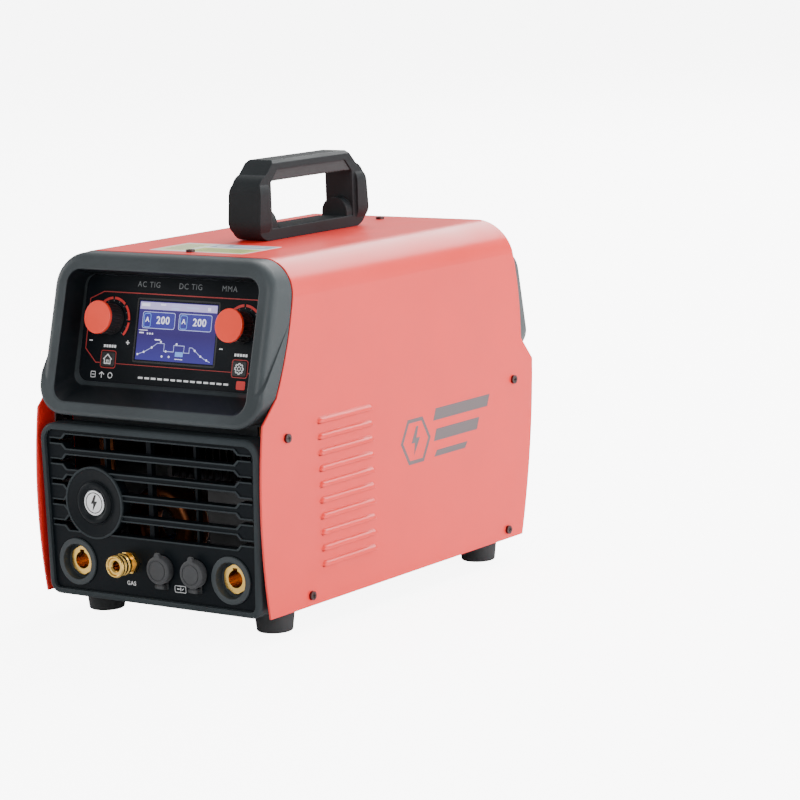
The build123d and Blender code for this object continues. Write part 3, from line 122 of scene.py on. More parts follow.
def paint_shade(mat, tone, tests):
    """Paint a finish darker, as painted shade, where the machine's own place satisfies every test.

    A test is (direction, lower, upper): the place along the direction, in metres.
    """
    tree = mat.node_tree
    link = tree.links.new
    bsdf = principled(mat)
    coordinates = node(tree, "ShaderNodeTexCoord")
    total = None
    for direction, low, high in tests:
        dot = node(tree, "ShaderNodeVectorMath", operation="DOT_PRODUCT")
        dot.inputs[1].default_value = direction
        link(coordinates.outputs["Object"], dot.inputs[0])
        above = node(tree, "ShaderNodeMath", operation="GREATER_THAN")
        above.inputs[1].default_value = low
        below = node(tree, "ShaderNodeMath", operation="LESS_THAN")
        below.inputs[1].default_value = high
        link(dot.outputs["Value"], above.inputs[0])
        link(dot.outputs["Value"], below.inputs[0])
        both = node(tree, "ShaderNodeMath", operation="MULTIPLY")
        link(above.outputs["Value"], both.inputs[0])
        link(below.outputs["Value"], both.inputs[1])
        if total is None:
            total = both.outputs["Value"]
        else:
            joined = node(tree, "ShaderNodeMath", operation="MULTIPLY")
            link(total, joined.inputs[0])
            link(both.outputs["Value"], joined.inputs[1])
            total = joined.outputs["Value"]
    mix = node(tree, "ShaderNodeMix", data_type="RGBA")
    mix.inputs["B"].default_value = (*tone, 1)
    link(total, mix.inputs["Factor"])
    link(bsdf.inputs["Base Color"].links[0].from_socket, mix.inputs["A"])
    link(mix.outputs["Result"], bsdf.inputs["Base Color"])


def shades(color, amount):
    """A darker and a lighter version of a colour."""
    dark = tuple(max(0.0, c * (1 - amount)) for c in color)
    light = tuple(min(1.0, c * (1 + amount) + 0.01 * amount) for c in color)
    return dark, light


def surface(name, color, rough, metallic=0.0, coat=0.0, coat_rough=0.06, vary=0.08,
            vary_scale=18.0, rough_vary=0.08, grain=0.0, grain_scale=1400.0, stretch=None,
            edge=0.0, edge_wear_highlight_tone=None, wear_and_highlight=0.0, specular=0.5, emit=None, emit_strength=0.0,
            sheen=0.0):
    """A finish with broad tone variation, fine grain and, where asked, rounded edges lightened partly as wear and
    partly as a painted highlight.
    """
    mat = bpy.data.materials.new(name)
    mat.use_nodes = True
    tree = mat.node_tree
    tree.nodes.clear()
    link = tree.links.new
    out = node(tree, "ShaderNodeOutputMaterial")
    bsdf = node(tree, "ShaderNodeBsdfPrincipled")
    link(bsdf.outputs["BSDF"], out.inputs["Surface"])
    bsdf.inputs["Metallic"].default_value = metallic
    bsdf.inputs["Coat Weight"].default_value = coat
    bsdf.inputs["Coat Roughness"].default_value = coat_rough
    bsdf.inputs["Specular IOR Level"].default_value = specular
    bsdf.inputs["Sheen Weight"].default_value = sheen
    if emit:
        bsdf.inputs["Emission Color"].default_value = (*emit, 1)
        bsdf.inputs["Emission Strength"].default_value = emit_strength
    place = node(tree, "ShaderNodeTexCoord")
    mapping = node(tree, "ShaderNodeMapping")
    if stretch:
        mapping.inputs["Scale"].default_value = stretch
    link(place.outputs["Object"], mapping.inputs["Vector"])
    # Broad colour variation.
    broad = node(tree, "ShaderNodeTexNoise")
    broad.inputs["Scale"].default_value = vary_scale
    broad.inputs["Detail"].default_value = 5.0
    link(place.outputs["Object"], broad.inputs["Vector"])
    ramp = node(tree, "ShaderNodeValToRGB")
    ramp.color_ramp.elements[0].position = 0.32
    ramp.color_ramp.elements[1].position = 0.68
    dark, light = shades(color, vary)
    ramp.color_ramp.elements[0].color = (*dark, 1)
    ramp.color_ramp.elements[1].color = (*light, 1)
    link(broad.outputs["Fac"], ramp.inputs["Fac"])
    shade = ramp.outputs["Color"]
    # Fine grain, used for roughness and bump.
    fine = node(tree, "ShaderNodeTexNoise")
    fine.inputs["Scale"].default_value = grain_scale
    fine.inputs["Detail"].default_value = 3.0
    link(mapping.outputs["Vector"], fine.inputs["Vector"])
    rough_range = node(tree, "ShaderNodeMapRange")
    rough_range.inputs["From Min"].default_value = 0.3
    rough_range.inputs["From Max"].default_value = 0.7
    rough_range.inputs["To Min"].default_value = max(0.02, rough - rough_vary)
    rough_range.inputs["To Max"].default_value = min(1.0, rough + rough_vary)
    link((fine if stretch else broad).outputs["Fac"], rough_range.inputs["Value"])
    link(rough_range.outputs["Result"], bsdf.inputs["Roughness"])
    bevel = None
    if edge:
        bevel = node(tree, "ShaderNodeBevel", samples=4)
        bevel.inputs["Radius"].default_value = edge
        # Rounded edges get a lighter tone: partly wear, partly a painted highlight where the edges catch the
        # light.
        if wear_and_highlight:
            geometry = node(tree, "ShaderNodeNewGeometry")
            dot = node(tree, "ShaderNodeVectorMath", operation="DOT_PRODUCT")
            link(bevel.outputs["Normal"], dot.inputs[0])
            link(geometry.outputs["Normal"], dot.inputs[1])
            wear_highlight_mask = node(tree, "ShaderNodeMapRange")
            wear_highlight_mask.inputs["From Min"].default_value = 0.995
            wear_highlight_mask.inputs["From Max"].default_value = 0.90
            wear_highlight_mask.inputs["To Max"].default_value = wear_and_highlight
            link(dot.outputs["Value"], wear_highlight_mask.inputs["Value"])
            wear_highlight_speckle = node(tree, "ShaderNodeMath", operation="MULTIPLY")
            link(wear_highlight_mask.outputs["Result"], wear_highlight_speckle.inputs[0])
            link(broad.outputs["Fac"], wear_highlight_speckle.inputs[1])
            mix = node(tree, "ShaderNodeMix", data_type="RGBA")
            tone = edge_wear_highlight_tone or tuple(min(1.0, c * 1.6 + 0.05) for c in color)
            mix.inputs["B"].default_value = (*tone, 1)
            link(wear_highlight_speckle.outputs["Value"], mix.inputs["Factor"])
            link(shade, mix.inputs["A"])
            shade = mix.outputs["Result"]
    link(shade, bsdf.inputs["Base Color"])
    if grain:
        bump = node(tree, "ShaderNodeBump")
        bump.inputs["Strength"].default_value = grain
        bump.inputs["Distance"].default_value = 0.0002
        link(fine.outputs["Fac"], bump.inputs["Height"])
        if bevel:
            link(bevel.outputs["Normal"], bump.inputs["Normal"])
        link(bump.outputs["Normal"], bsdf.inputs["Normal"])
    elif bevel:
        link(bevel.outputs["Normal"], bsdf.inputs["Normal"])
    return mat


M = {
    "red_paint": surface("red_paint", (0.86, 0.030, 0.024), 0.38, coat=0.2, coat_rough=0.16,
                         vary=0.03, specular=0.35, grain=0.02, grain_scale=260, edge=0.0012,
                         wear_and_highlight=0.25, rough_vary=0.04, edge_wear_highlight_tone=(0.95, 0.25, 0.2)),
    "charcoal_plastic": surface("charcoal_plastic", (0.040, 0.048, 0.052), 0.42, vary=0.12, specular=0.22,
                                grain=0.10, grain_scale=1500, edge=0.0008, wear_and_highlight=0.35,
                                edge_wear_highlight_tone=(0.12, 0.14, 0.15)),
    "handle_plastic": surface("handle_plastic", (0.016, 0.019, 0.021), 0.48, vary=0.12, specular=0.12,
                              grain=0.12, grain_scale=1500, edge=0.0010, wear_and_highlight=0.35,
                              edge_wear_highlight_tone=(0.12, 0.14, 0.15)),
    "grip_rubber": surface("grip_rubber", (0.022, 0.024, 0.026), 0.7, vary=0.2, grain=0.25,
                           grain_scale=900, edge=0.0005),
    "panel_black": surface("panel_black", (0.0030, 0.0045, 0.0065), 0.40, vary=0.2,
                           specular=0.15, grain=0.04, grain_scale=2200),
    "screen": surface("screen", (0.006, 0.006, 0.02), 0.30, specular=0.15, vary=0.1),
    "knob_black": surface("knob_black", (0.012, 0.012, 0.013), 0.5, vary=0.15, grain=0.15,
                          grain_scale=1800, edge=0.0004),
    "knob_orange": surface("knob_orange", (0.93, 0.055, 0.025), 0.35, vary=0.04, grain=0.05,
                           grain_scale=1500, edge=0.0005, coat=0.2, coat_rough=0.2),
    "key_black": surface("key_black", (0.016, 0.016, 0.017), 0.45, vary=0.15, grain=0.1,
                         grain_scale=1800, edge=0.0003),
    "badge_metal": surface("badge_metal", (0.72, 0.73, 0.75), 0.24, metallic=1.0, vary=0.08,
                           grain=0.06, grain_scale=500, stretch=(1, 1, 14), edge=0.0003),
    "brass": surface("brass", (0.83, 0.53, 0.14), 0.24, metallic=1.0, vary=0.14, vary_scale=60,
                     grain=0.05, grain_scale=700, edge=0.0004, wear_and_highlight=0.4,
                     edge_wear_highlight_tone=(1.0, 0.78, 0.4)),
    "socket_plastic": surface("socket_plastic", (0.02, 0.022, 0.024), 0.45, vary=0.15,
                              grain=0.1, grain_scale=1700, edge=0.0005, wear_and_highlight=0.3),
    "cap_rubber": surface("cap_rubber", (0.028, 0.030, 0.033), 0.62, vary=0.2, grain=0.2,
                          grain_scale=1300, edge=0.0005, wear_and_highlight=0.3, sheen=0.15),
    "rocker_red": surface("rocker_red", (0.55, 0.012, 0.012), 0.25, vary=0.06, coat=0.4,
                          grain=0.02, edge=0.0005),
    "foot_rubber": surface("foot_rubber", (0.022, 0.023, 0.025), 0.75, vary=0.25, grain=0.3,
                           grain_scale=1100, edge=0.0006, wear_and_highlight=0.3),
    "zinc_steel": surface("zinc_steel", (0.30, 0.30, 0.31), 0.36, metallic=1.0, vary=0.12,
                          vary_scale=40, grain=0.05, grain_scale=600, edge=0.0003),
    "black_wire": surface("black_wire", (0.018, 0.018, 0.019), 0.35, vary=0.15, grain=0.06),
    "plate_foil": surface("plate_foil", (0.58, 0.58, 0.59), 0.35, metallic=0.8, vary=0.06,
                          grain=0.05, grain_scale=500, stretch=(1, 20, 1)),
    "circuit_green": surface("circuit_green", (0.012, 0.10, 0.045), 0.4, vary=0.2,
                             vary_scale=90, grain=0.1, grain_scale=700),
    "module_black": surface("module_black", (0.02, 0.02, 0.022), 0.45, vary=0.2, grain=0.1),
    "heatsink_metal": surface("heatsink_metal", (0.10, 0.10, 0.105), 0.42, metallic=1.0,
                              vary=0.1, grain=0.08, grain_scale=400, stretch=(12, 1, 12)),
    "ferrite": surface("ferrite", (0.05, 0.05, 0.052), 0.6, vary=0.2, grain=0.2),
    "copper": surface("copper", (0.30, 0.10, 0.04), 0.42, metallic=1.0, vary=0.15, grain=0.1,
                      grain_scale=300, stretch=(1, 1, 16)),
    "valve_metal": surface("valve_metal", (0.42, 0.42, 0.41), 0.4, metallic=1.0, vary=0.12,
                           grain=0.06),
    "hose_rubber": surface("hose_rubber", (0.03, 0.05, 0.25), 0.5, vary=0.15, grain=0.1),
}
ALONG_X, ALONG_Y, ALONG_Z = (1, 0, 0), (0, 1, 0), (0, 0, 1)

# The walls of the hood's recess are painted darker than its rim, as painted shade in the recess; the zone is
# measured from a point on the leaning rim.
HOOD_LEAN = math.radians(15)
HOOD_OUT = Vector((0.0, -math.cos(HOOD_LEAN), math.sin(HOOD_LEAN)))
HOOD_UP = Vector((0.0, math.sin(HOOD_LEAN), math.cos(HOOD_LEAN)))
RIM_POINT = Vector((0.0, -0.179, 0.218))
RIM_OUT, RIM_UP = RIM_POINT.dot(HOOD_OUT), RIM_POINT.dot(HOOD_UP)
RECESS_SHADE = (0.006, 0.008, 0.010)
paint_shade(M["charcoal_plastic"], RECESS_SHADE,
       [(ALONG_X, -0.0945, 0.0945), (HOOD_OUT, RIM_OUT - 0.022, RIM_OUT - 0.0012),
        (HOOD_UP, RIM_UP - 0.0508, RIM_UP + 0.0545)])

# The grille's bars keep their tone, and its field behind them is painted near black, as painted shade behind the
# bars.
GRILLE_PLASTIC = surface("grille_plastic", (0.030, 0.037, 0.041), 0.42, vary=0.12, specular=0.10,
                         grain=0.10, grain_scale=1500, edge=0.0006, wear_and_highlight=0.3,
                         edge_wear_highlight_tone=(0.10, 0.12, 0.13))
paint_shade(GRILLE_PLASTIC, (0.003, 0.005, 0.007),
       [(ALONG_X, -0.1018, 0.1018), (ALONG_Y, -0.1903, -0.1700), (ALONG_Z, 0.0235, 0.1480)])

# The cover's inner side is painted dark behind the front cheeks, as painted shade of the machine's inside: the
# sides first, then the top.
BEHIND_CHEEKS = (ALONG_Y, -0.150, 0.200)
BEND_LOW, BEND_IN = 0.252, 0.080
INNER_HALF, INNER_TOP = 0.1088, 0.2807
INSIDE_SHADE = (0.030, 0.006, 0.006)
paint_shade(M["red_paint"], INSIDE_SHADE,
       [(ALONG_X, -INNER_HALF, INNER_HALF), (ALONG_Z, 0.0, BEND_LOW), BEHIND_CHEEKS])
paint_shade(M["red_paint"], INSIDE_SHADE,
       [(ALONG_X, -BEND_IN, BEND_IN), (ALONG_Z, 0.0, INNER_TOP), BEHIND_CHEEKS])

# Prints, stickers and the lit marks of the screen.
PRINT_RED = surface("print_red", (0.62, 0.035, 0.03), 0.45, vary=0.05, grain=0.05)
PRINT_RED_DIM = surface("print_red_dim", (0.36, 0.03, 0.028), 0.5, vary=0.05, grain=0.05)
PRINT_WHITE = surface("print_white", (0.78, 0.79, 0.8), 0.45, vary=0.03, grain=0.05)
PRINT_GREY = surface("print_grey", (0.14, 0.15, 0.155), 0.5, vary=0.05, grain=0.05)
PRINT_DARK = surface("print_dark", (0.10, 0.075, 0.08), 0.42, vary=0.06, grain=0.04, coat=0.2)
STICKER_WHITE = surface("sticker_white", (0.75, 0.76, 0.78), 0.4, vary=0.05, grain=0.04, coat=0.2)
STICKER_GREEN = surface("sticker_green", (0.52, 0.60, 0.16), 0.4, vary=0.08, grain=0.04, coat=0.2)
STICKER_PALE = surface("sticker_pale", (0.62, 0.66, 0.34), 0.4, vary=0.08, grain=0.04, coat=0.2)
STICKER_BLUE = surface("sticker_blue", (0.30, 0.38, 0.48), 0.4, vary=0.08, grain=0.04, coat=0.2)
LCD_TEXT = surface("lcd_text", (0.5, 0.5, 0.6), 0.4, emit=(0.78, 0.78, 1.0), emit_strength=0.9)
LCD_LINE = surface("lcd_line", (0.3, 0.35, 0.5), 0.4, emit=(0.42, 0.45, 0.9), emit_strength=0.8)
LCD_BAND = surface("lcd_band", (0.3, 0.3, 0.45), 0.4, emit=(0.42, 0.33, 0.68), emit_strength=0.8)
LCD_BOX = surface("lcd_box", (0.02, 0.02, 0.1), 0.4, emit=(0.035, 0.03, 0.33), emit_strength=0.8)
LCD_CYAN = surface("lcd_cyan", (0.1, 0.2, 0.4), 0.4, emit=(0.13, 0.30, 0.85), emit_strength=0.9)


def screen_glow():
    """Backlit background of the display: violet above, bluer below, a little uneven."""
    mat = surface("lcd_back", (0.01, 0.01, 0.03), 0.4, specular=0.12)
    tree = mat.node_tree
    bsdf = principled(mat)
    place = node(tree, "ShaderNodeTexCoord")
    split_xyz = node(tree, "ShaderNodeSeparateXYZ")
    tree.links.new(place.outputs["Generated"], split_xyz.inputs["Vector"])
    ramp = node(tree, "ShaderNodeValToRGB")
    ramp.color_ramp.elements[0].color = (0.065, 0.055, 0.34, 1)
    ramp.color_ramp.elements[1].color = (0.075, 0.05, 0.26, 1)
    middle = ramp.color_ramp.elements.new(0.45)
    middle.color = (0.055, 0.033, 0.19, 1)
    tree.links.new(split_xyz.outputs["Z"], ramp.inputs["Fac"])
    tree.links.new(ramp.outputs["Color"], bsdf.inputs["Emission Color"])
    bsdf.inputs["Emission Strength"].default_value = 0.9
    return mat


LCD_BACK = screen_glow()
SCREW_STEEL = surface("screw_steel", (0.07, 0.055, 0.055), 0.34, metallic=1.0, vary=0.15, vary_scale=300,
                      grain=0.05, grain_scale=900, edge=0.0002)

# Pieces whose finish differs from the rest of their slot.
DISH_PLASTIC = surface("dish_plastic", (0.007, 0.009, 0.011), 0.42, vary=0.12, specular=0.10,
                       grain=0.08, grain_scale=1500, edge=0.0006, wear_and_highlight=0.5, edge_wear_highlight_tone=(0.10, 0.12, 0.13))
OWN_FINISH = {"cover_screws": SCREW_STEEL, "front_grille": GRILLE_PLASTIC, "emblem_dish": DISH_PLASTIC}

for entry in RECORD["subparts"]:
    cad = frame["nodes"][entry["node"]]
    finish = OWN_FINISH.get(entry["node"], M[entry["material_slot"]])
    if not cad.material_slots:
        cad.data.materials.append(finish)
    for slot in cad.material_slots:
        slot.material = finish

# ------------------------------------------------------------------ flat pieces


class Sheet:
    """A flat place on the machine: u to the right, v up, w out of the surface, in millimetres."""

    def __init__(self, origin, u_dir, v_dir, body="chassis"):
        self.origin = Vector(origin)
        self.u_dir = Vector(u_dir).normalized()
        self.v_dir = Vector(v_dir).normalized()
        self.w_dir = self.u_dir.cross(self.v_dir).normalized()
        self.body = body

    def at(self, u, v, w=0.0):
        return self.origin + (self.u_dir * u + self.v_dir * v + self.w_dir * w) * MM


def finish_piece(obj, sheet_or_body):
    body = sheet_or_body.body if isinstance(sheet_or_body, Sheet) else sheet_or_body
    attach(obj, body)
    return obj


def patches(name, sheet, outlines, material, w=0.03, thick=0.08):
    """Flat closed outlines, each raised a little as a print or a film."""
    bm = bmesh.new()
    for outline in outlines:
        low = [bm.verts.new(sheet.at(u, v, w)) for u, v in outline]
        high = [bm.verts.new(sheet.at(u, v, w + thick)) for u, v in outline]
        bm.faces.new(high)
        bm.faces.new(list(reversed(low)))
        for i in range(len(low)):
            j = (i + 1) % len(low)
            bm.faces.new((low[i], low[j], high[j], high[i]))
    return finish_piece(new_object(name, bm, material), sheet)


def ribbon(points, width, closed=False):
    """Outline quads of a line of constant width along points."""
    count = len(points)
    sides = []
    for i in range(count):
        here = Vector(points[i])
        prev = Vector(points[(i - 1) % count]) if closed or i else None
        nxt = Vector(points[(i + 1) % count]) if closed or i < count - 1 else None
        a = (here - prev).normalized() if prev is not None else (nxt - here).normalized()
        b = (nxt - here).normalized() if nxt is not None else a
        na, nb = Vector((-a.y, a.x)), Vector((-b.y, b.x))
        mitre = (na + nb).normalized()
        scale = width / 2 / max(0.35, mitre.dot(na))
        sides.append((here + mitre * scale, here - mitre * scale))
    quads = []
    for i in range(count if closed else count - 1):
        j = (i + 1) % count
        quads.append([tuple(sides[i][1]), tuple(sides[j][1]),
                      tuple(sides[j][0]), tuple(sides[i][0])])
    return quads


def arc(cx, cy, radius, start, end, steps=24):
    """Points along an arc; the angles are in degrees."""
    out = []
    for i in range(steps + 1):
        angle = math.radians(start + (end - start) * i / steps)
        out.append((cx + radius * math.cos(angle), cy + radius * math.sin(angle)))
    return out


def disc(cx, cy, radius, steps=28):
    return arc(cx, cy, radius, 0, 360 - 360 / steps, steps - 1)


def rounded(cx, cy, width, height, radius, steps=6):
    out = []
    for sx, sy, start in ((1, 1, 0), (-1, 1, 90), (-1, -1, 180), (1, -1, 270)):
        out += arc(cx + sx * (width / 2 - radius), cy + sy * (height / 2 - radius), radius,
                   start, start + 90, steps)
    return out


def box2(cx, cy, width, height):
    return [(cx - width / 2, cy - height / 2), (cx + width / 2, cy - height / 2),
            (cx + width / 2, cy + height / 2), (cx - width / 2, cy + height / 2)]


def lettering(name, sheet, text, u, v, size, material, w=0.05, spacing=1.0, bold=0.0):
    curve = bpy.data.curves.new(name, "FONT")
    curve.body = text
    curve.size = size * MM
    curve.extrude = 0.00004
    curve.offset = bold * MM
    curve.space_character = spacing
    curve.align_x = "CENTER"
    curve.align_y = "CENTER"
    curve.resolution_u = 4
    curve.materials.append(material)
    obj = bpy.data.objects.new(name, curve)
    bpy.context.scene.collection.objects.link(obj)
    turn = Matrix((sheet.u_dir, sheet.v_dir, sheet.w_dir)).transposed().to_4x4()
    obj.matrix_world = Matrix.Translation(sheet.at(u, v, w)) @ turn
    return finish_piece(obj, sheet)


# A plain lightning bolt, 20 mm high at scale 1.
BOLT = [(0.9, 10), (-5.2, -1.2), (-1.2, -1.2), (-2.6, -10), (5.2, 2.0), (0.9, 2.0), (3.6, 10)]


def bolt(cx, cy, scale):
    return [(cx + x * scale, cy + y * scale) for x, y in BOLT]


# ------------------------------------------------------------------ control panel
left_knob = Vector(JOINTS["left_knob_turn"]["pos_m"])
right_knob = Vector(JOINTS["right_knob_turn"]["pos_m"])
outward = Vector(JOINTS["left_knob_turn"]["axis"])
across = (right_knob - left_knob).normalized()
upward = outward.cross(across)
KNOB_X = (right_knob - left_knob).length / 2 / MM
KNOB_V = 7.8
KEY_U, KEY_V = 64.3, -23.2
panel = Sheet((left_knob + right_knob) / 2, across, upward)
panel.origin = panel.origin - panel.v_dir * (KNOB_V * MM)


def on_panel(name, outlines, material, thick=0.06, sheet=panel):
    """A print on the panel; it starts just under the face, so that no gap shows."""
    return patches(name, sheet, outlines, material, w=-0.02, thick=thick)


# The red line round the panel stops at the two key frames.
left_line = [(-72.3, -26.2), (-76.6, -26.2), (-88, -15.9), (-88, 23.0), (-74.6, 29.0)]
right_line = [(-u, v) for u, v in reversed(left_line)]
on_panel("panel_outline", ribbon(left_line + right_line, 0.8), PRINT_RED_DIM)
on_panel("panel_base_line", ribbon([(-56.3, -26.2), (56.3, -26.2)], 0.5), PRINT_RED_DIM, 0.05)
for name, side in (("left", -1), ("right", 1)):
    cx = side * KNOB_X
    arcs = []
    for start, end in ((-44, -6), (0, 42), (48, 88), (94, 134), (140, 182), (188, 224)):
        arcs += ribbon(arc(cx, KNOB_V, 16.6, start, end, 8), 2.0)
    on_panel(f"{name}_knob_scale", arcs, PRINT_RED)
    ticks = []
    for k in range(13):
        angle = math.radians(-44 + k * 268 / 12)
        c, s = math.cos(angle), math.sin(angle)
        ticks += ribbon([(cx + 14.0 * c, KNOB_V + 14.0 * s), (cx + 15.2 * c, KNOB_V + 15.2 * s)], 0.5)
    on_panel(f"{name}_knob_ticks", ticks, PRINT_GREY, 0.05)
    # A minus and a plus sign below the knob.
    signs = ribbon([(cx - 21.0, -9.4), (cx - 17.6, -9.4)], 0.8)
    signs += ribbon([(cx + 15.9, -9.4), (cx + 19.3, -9.4)], 0.8)
    signs += ribbon([(cx + 17.6, -7.7), (cx + 17.6, -11.1)], 0.8)
    on_panel(f"{name}_knob_signs", signs, PRINT_WHITE)
    caption = [box2(cx - 5 + 2.6 * k, -13.0, 1.9, 2.1) for k in range(5)]
    on_panel(f"{name}_knob_caption", caption, PRINT_WHITE, 0.05)
    on_panel(f"{name}_key_frame", ribbon(rounded(side * KEY_U, KEY_V, 14.8, 13.2, 2.0), 0.7, True),
             PRINT_RED_DIM, 0.07)
for text, u in (("AC TIG", -30.7), ("DC TIG", 10.0), ("MMA", 47.5)):
    lettering(f"mode_{text.replace(' ', '_').lower()}", panel, text, u, 36.0, 6.2, PRINT_GREY,
              spacing=1.15)

# Key symbols ride on the keys.
for body, side in (("home_key", -1), ("settings_key", 1)):
    key = Sheet(panel.at(side * KEY_U, KEY_V, 0.8), panel.u_dir, panel.v_dir, body)
    if side < 0:
        lines = ribbon([(-4.2, -0.2), (0, 3.8), (4.2, -0.2)], 0.8)
        lines += ribbon([(-2.9, 0.2), (-2.9, -3.4), (2.9, -3.4), (2.9, 0.2)], 0.8)
        lines += ribbon([(-0.8, -3.2), (-0.8, -0.8), (0.8, -0.8), (0.8, -3.2)], 0.6)
    else:
        teeth = []
        for k in range(8):
            start = k * 45
            teeth += arc(0, 0, 4.0, start - 9, start + 9, 2)
            teeth += arc(0, 0, 3.1, start + 15, start + 30, 1)
        lines = ribbon(teeth, 0.7, True) + ribbon(disc(0, 0, 1.5, 16), 0.6, True)
    patches(f"{body}_symbol", key, lines, PRINT_WHITE, w=0.0, thick=0.07)

# Screen content, in thin layers one above the other.
SCREEN_V = 0.9
screen = Sheet(panel.at(0, SCREEN_V, -0.35), panel.u_dir, panel.v_dir)


def on_screen(name, outlines, material, w):
    return patches(name, screen, outlines, material, w=w, thick=0.02)


on_screen("screen_image", [box2(0, 0, 76.0, 45.2)], LCD_BACK, 0.01)
on_screen("screen_header", [box2(0, 19.2, 75.0, 5.6)], LCD_BAND, 0.04)
header_marks = [box2(-32, 19.8, 8, 2.2), box2(-15, 20.4, 5, 1.1), box2(30, 18.8, 3, 2.4)]
header_lines = [box2(-2, 20.2, 9, 0.8), box2(-3, 17.9, 8, 1.4), box2(14, 19.2, 12, 1.2)]
on_screen("screen_header_marks", header_marks, LCD_TEXT, 0.07)
on_screen("screen_header_lines", header_lines, LCD_LINE, 0.07)
for k, cx in enumerate((-18.2, 17.4)):
    field_outline = rounded(cx, 8.2, 31.5, 12.4, 1.6)
    unit_outline = rounded(cx - 11.2, 8.0, 6.4, 10.2, 1.4)
    on_screen(f"screen_field_{k}", [field_outline], LCD_BOX, 0.04)
    on_screen(f"screen_field_line_{k}", ribbon(field_outline, 0.45, True), LCD_LINE, 0.06)
    on_screen(f"screen_unit_{k}", ribbon(unit_outline, 0.5, True), LCD_CYAN, 0.06)
    lettering(f"screen_unit_letter_{k}", screen, "A", cx - 11.2, 8.4, 5.4, LCD_TEXT,
              w=0.1, bold=0.12)
    lettering(f"screen_value_{k}", screen, "200", cx + 4.2, 8.2, 8.0, LCD_TEXT, w=0.1,
              spacing=1.12, bold=0.18)
wave = [(-36, -18.5), (-30, -16.5), (-23, -13), (-17.5, -9.2), (-10.5, -9.2), (-10.5, -15), (-1, -15),
        (-1, -10), (9, -10), (9, -15.2), (14.2, -15.2), (14.2, -11), (17, -11), (23, -15.5),
        (29, -18.8), (35, -21)]
on_screen("screen_wave", ribbon(wave, 0.45), LCD_LINE, 0.06)
dots = [(-36, -18.5), (-30, -16.5), (-22.5, -12.7), (-14, -8), (-8.5, -15), (1.5, -9.0), (-5, -19),
        (-12, -19), (19.6, -13), (25.5, -17.0), (31.5, -19.6)]
on_screen("screen_dots", [disc(x, y, 0.85, 12) for x, y in dots], LCD_TEXT, 0.09)
on_screen("screen_cursor", [box2(4.6, -16.6, 7.6, 3.6)], LCD_CYAN, 0.07)
marks = [box2(-32.5, 0.2, 8.5, 0.5), box2(-34, -1.8, 4.5, 0.9), box2(-28, -2.2, 1.2, 1.3),
         box2(-25.6, -2.2, 1.2, 1.3), box2(-23.2, -2.2, 1.2, 1.3), box2(-17.5, -6.6, 5.5, 0.9),
         box2(4.6, -20.4, 7.6, 0.5)]
on_screen("screen_marks", marks, LCD_TEXT, 0.07)
# Thin dark surround between the glass and the panel.
on_panel("screen_surround", ribbon(rounded(0, SCREEN_V, 79.4, 48.6, 1.2), 1.4, True),
         M["key_black"], 0.09)

# Row of small marks under the screen.
foot_marks = Sheet(panel.at(0, -35.6, 0), panel.u_dir, panel.v_dir)
sill_icons = ribbon(rounded(-78, 0, 4.4, 4.4, 0.6), 0.5, True) + ribbon([(-79.4, 0), (-76.6, 0)], 0.5)
sill_icons += ribbon([(-72, 0.4), (-69.5, 2.2), (-67, 0.4)], 0.7)
sill_icons += ribbon([(-69.5, 2.0), (-69.5, -2.2)], 0.6)
sill_icons += ribbon(disc(-61, 0, 2.1, 14), 0.6, True)
dashes = [box2(-33 + 6.4 * k + 2.4, 0, 4.6, 1.5) for k in range(14)]
on_panel("panel_icons", sill_icons, PRINT_WHITE, 0.05, foot_marks)
on_panel("panel_scale_line", dashes, PRINT_WHITE, 0.05, foot_marks)
on_panel("panel_red_mark", [rounded(66.6, 0, 8.4, 6.6, 1.2)], PRINT_RED, 0.06, foot_marks)

# ------------------------------------------------------------------ emblem and front marks
badge_low, badge_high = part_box("emblem_badge")
badge = Sheet(((badge_low.x + badge_high.x) / 2, badge_low.y, (badge_low.z + badge_high.z) / 2),
              (1, 0, 0), (0, 0, 1))
patches("badge_ring", badge, ribbon(disc(0, 0, 7.9, 36), 0.7, True), M["knob_black"],
        w=0.0, thick=0.12)
patches("badge_bolt", badge, [bolt(0, 0, 0.62)], M["knob_black"], w=0.0, thick=0.15)

# The grille's field lies a little behind the front of its frame.
FIELD_DEPTH = 0.003
grille_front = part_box("front_grille")[0].y
field = Sheet((0, grille_front + FIELD_DEPTH, 0), (1, 0, 0), (0, 0, 1))
gas_low, gas_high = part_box("gas_coupler_sleeve")
gas_x = (gas_low.x + gas_high.x) / 2 / MM
lettering("gas_label", field, "GAS", gas_x, 33.4, 4.6, PRINT_WHITE,
          spacing=1.1, bold=0.06)
# A small plug in a frame marks the remote sockets.
plug_marks = ribbon(rounded(25.3, 33.6, 10.5, 5.0, 0.8), 0.4, True)
plug_marks += ribbon([(22.2, 33.6), (24.4, 33.6)], 0.8) + ribbon([(25.6, 35.0), (25.6, 32.2)], 0.6)
plug_marks += ribbon([(27.0, 33.0), (28.4, 34.4)], 0.6)
patches("remote_label", field, plug_marks, PRINT_WHITE, w=0.0, thick=0.08)

# ------------------------------------------------------------------ cover graphics
cover_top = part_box("cover")[1].z
# The sides are flat at SIDE_X; the cover's box is wider, by its louvres.
SIDE_X = 0.110
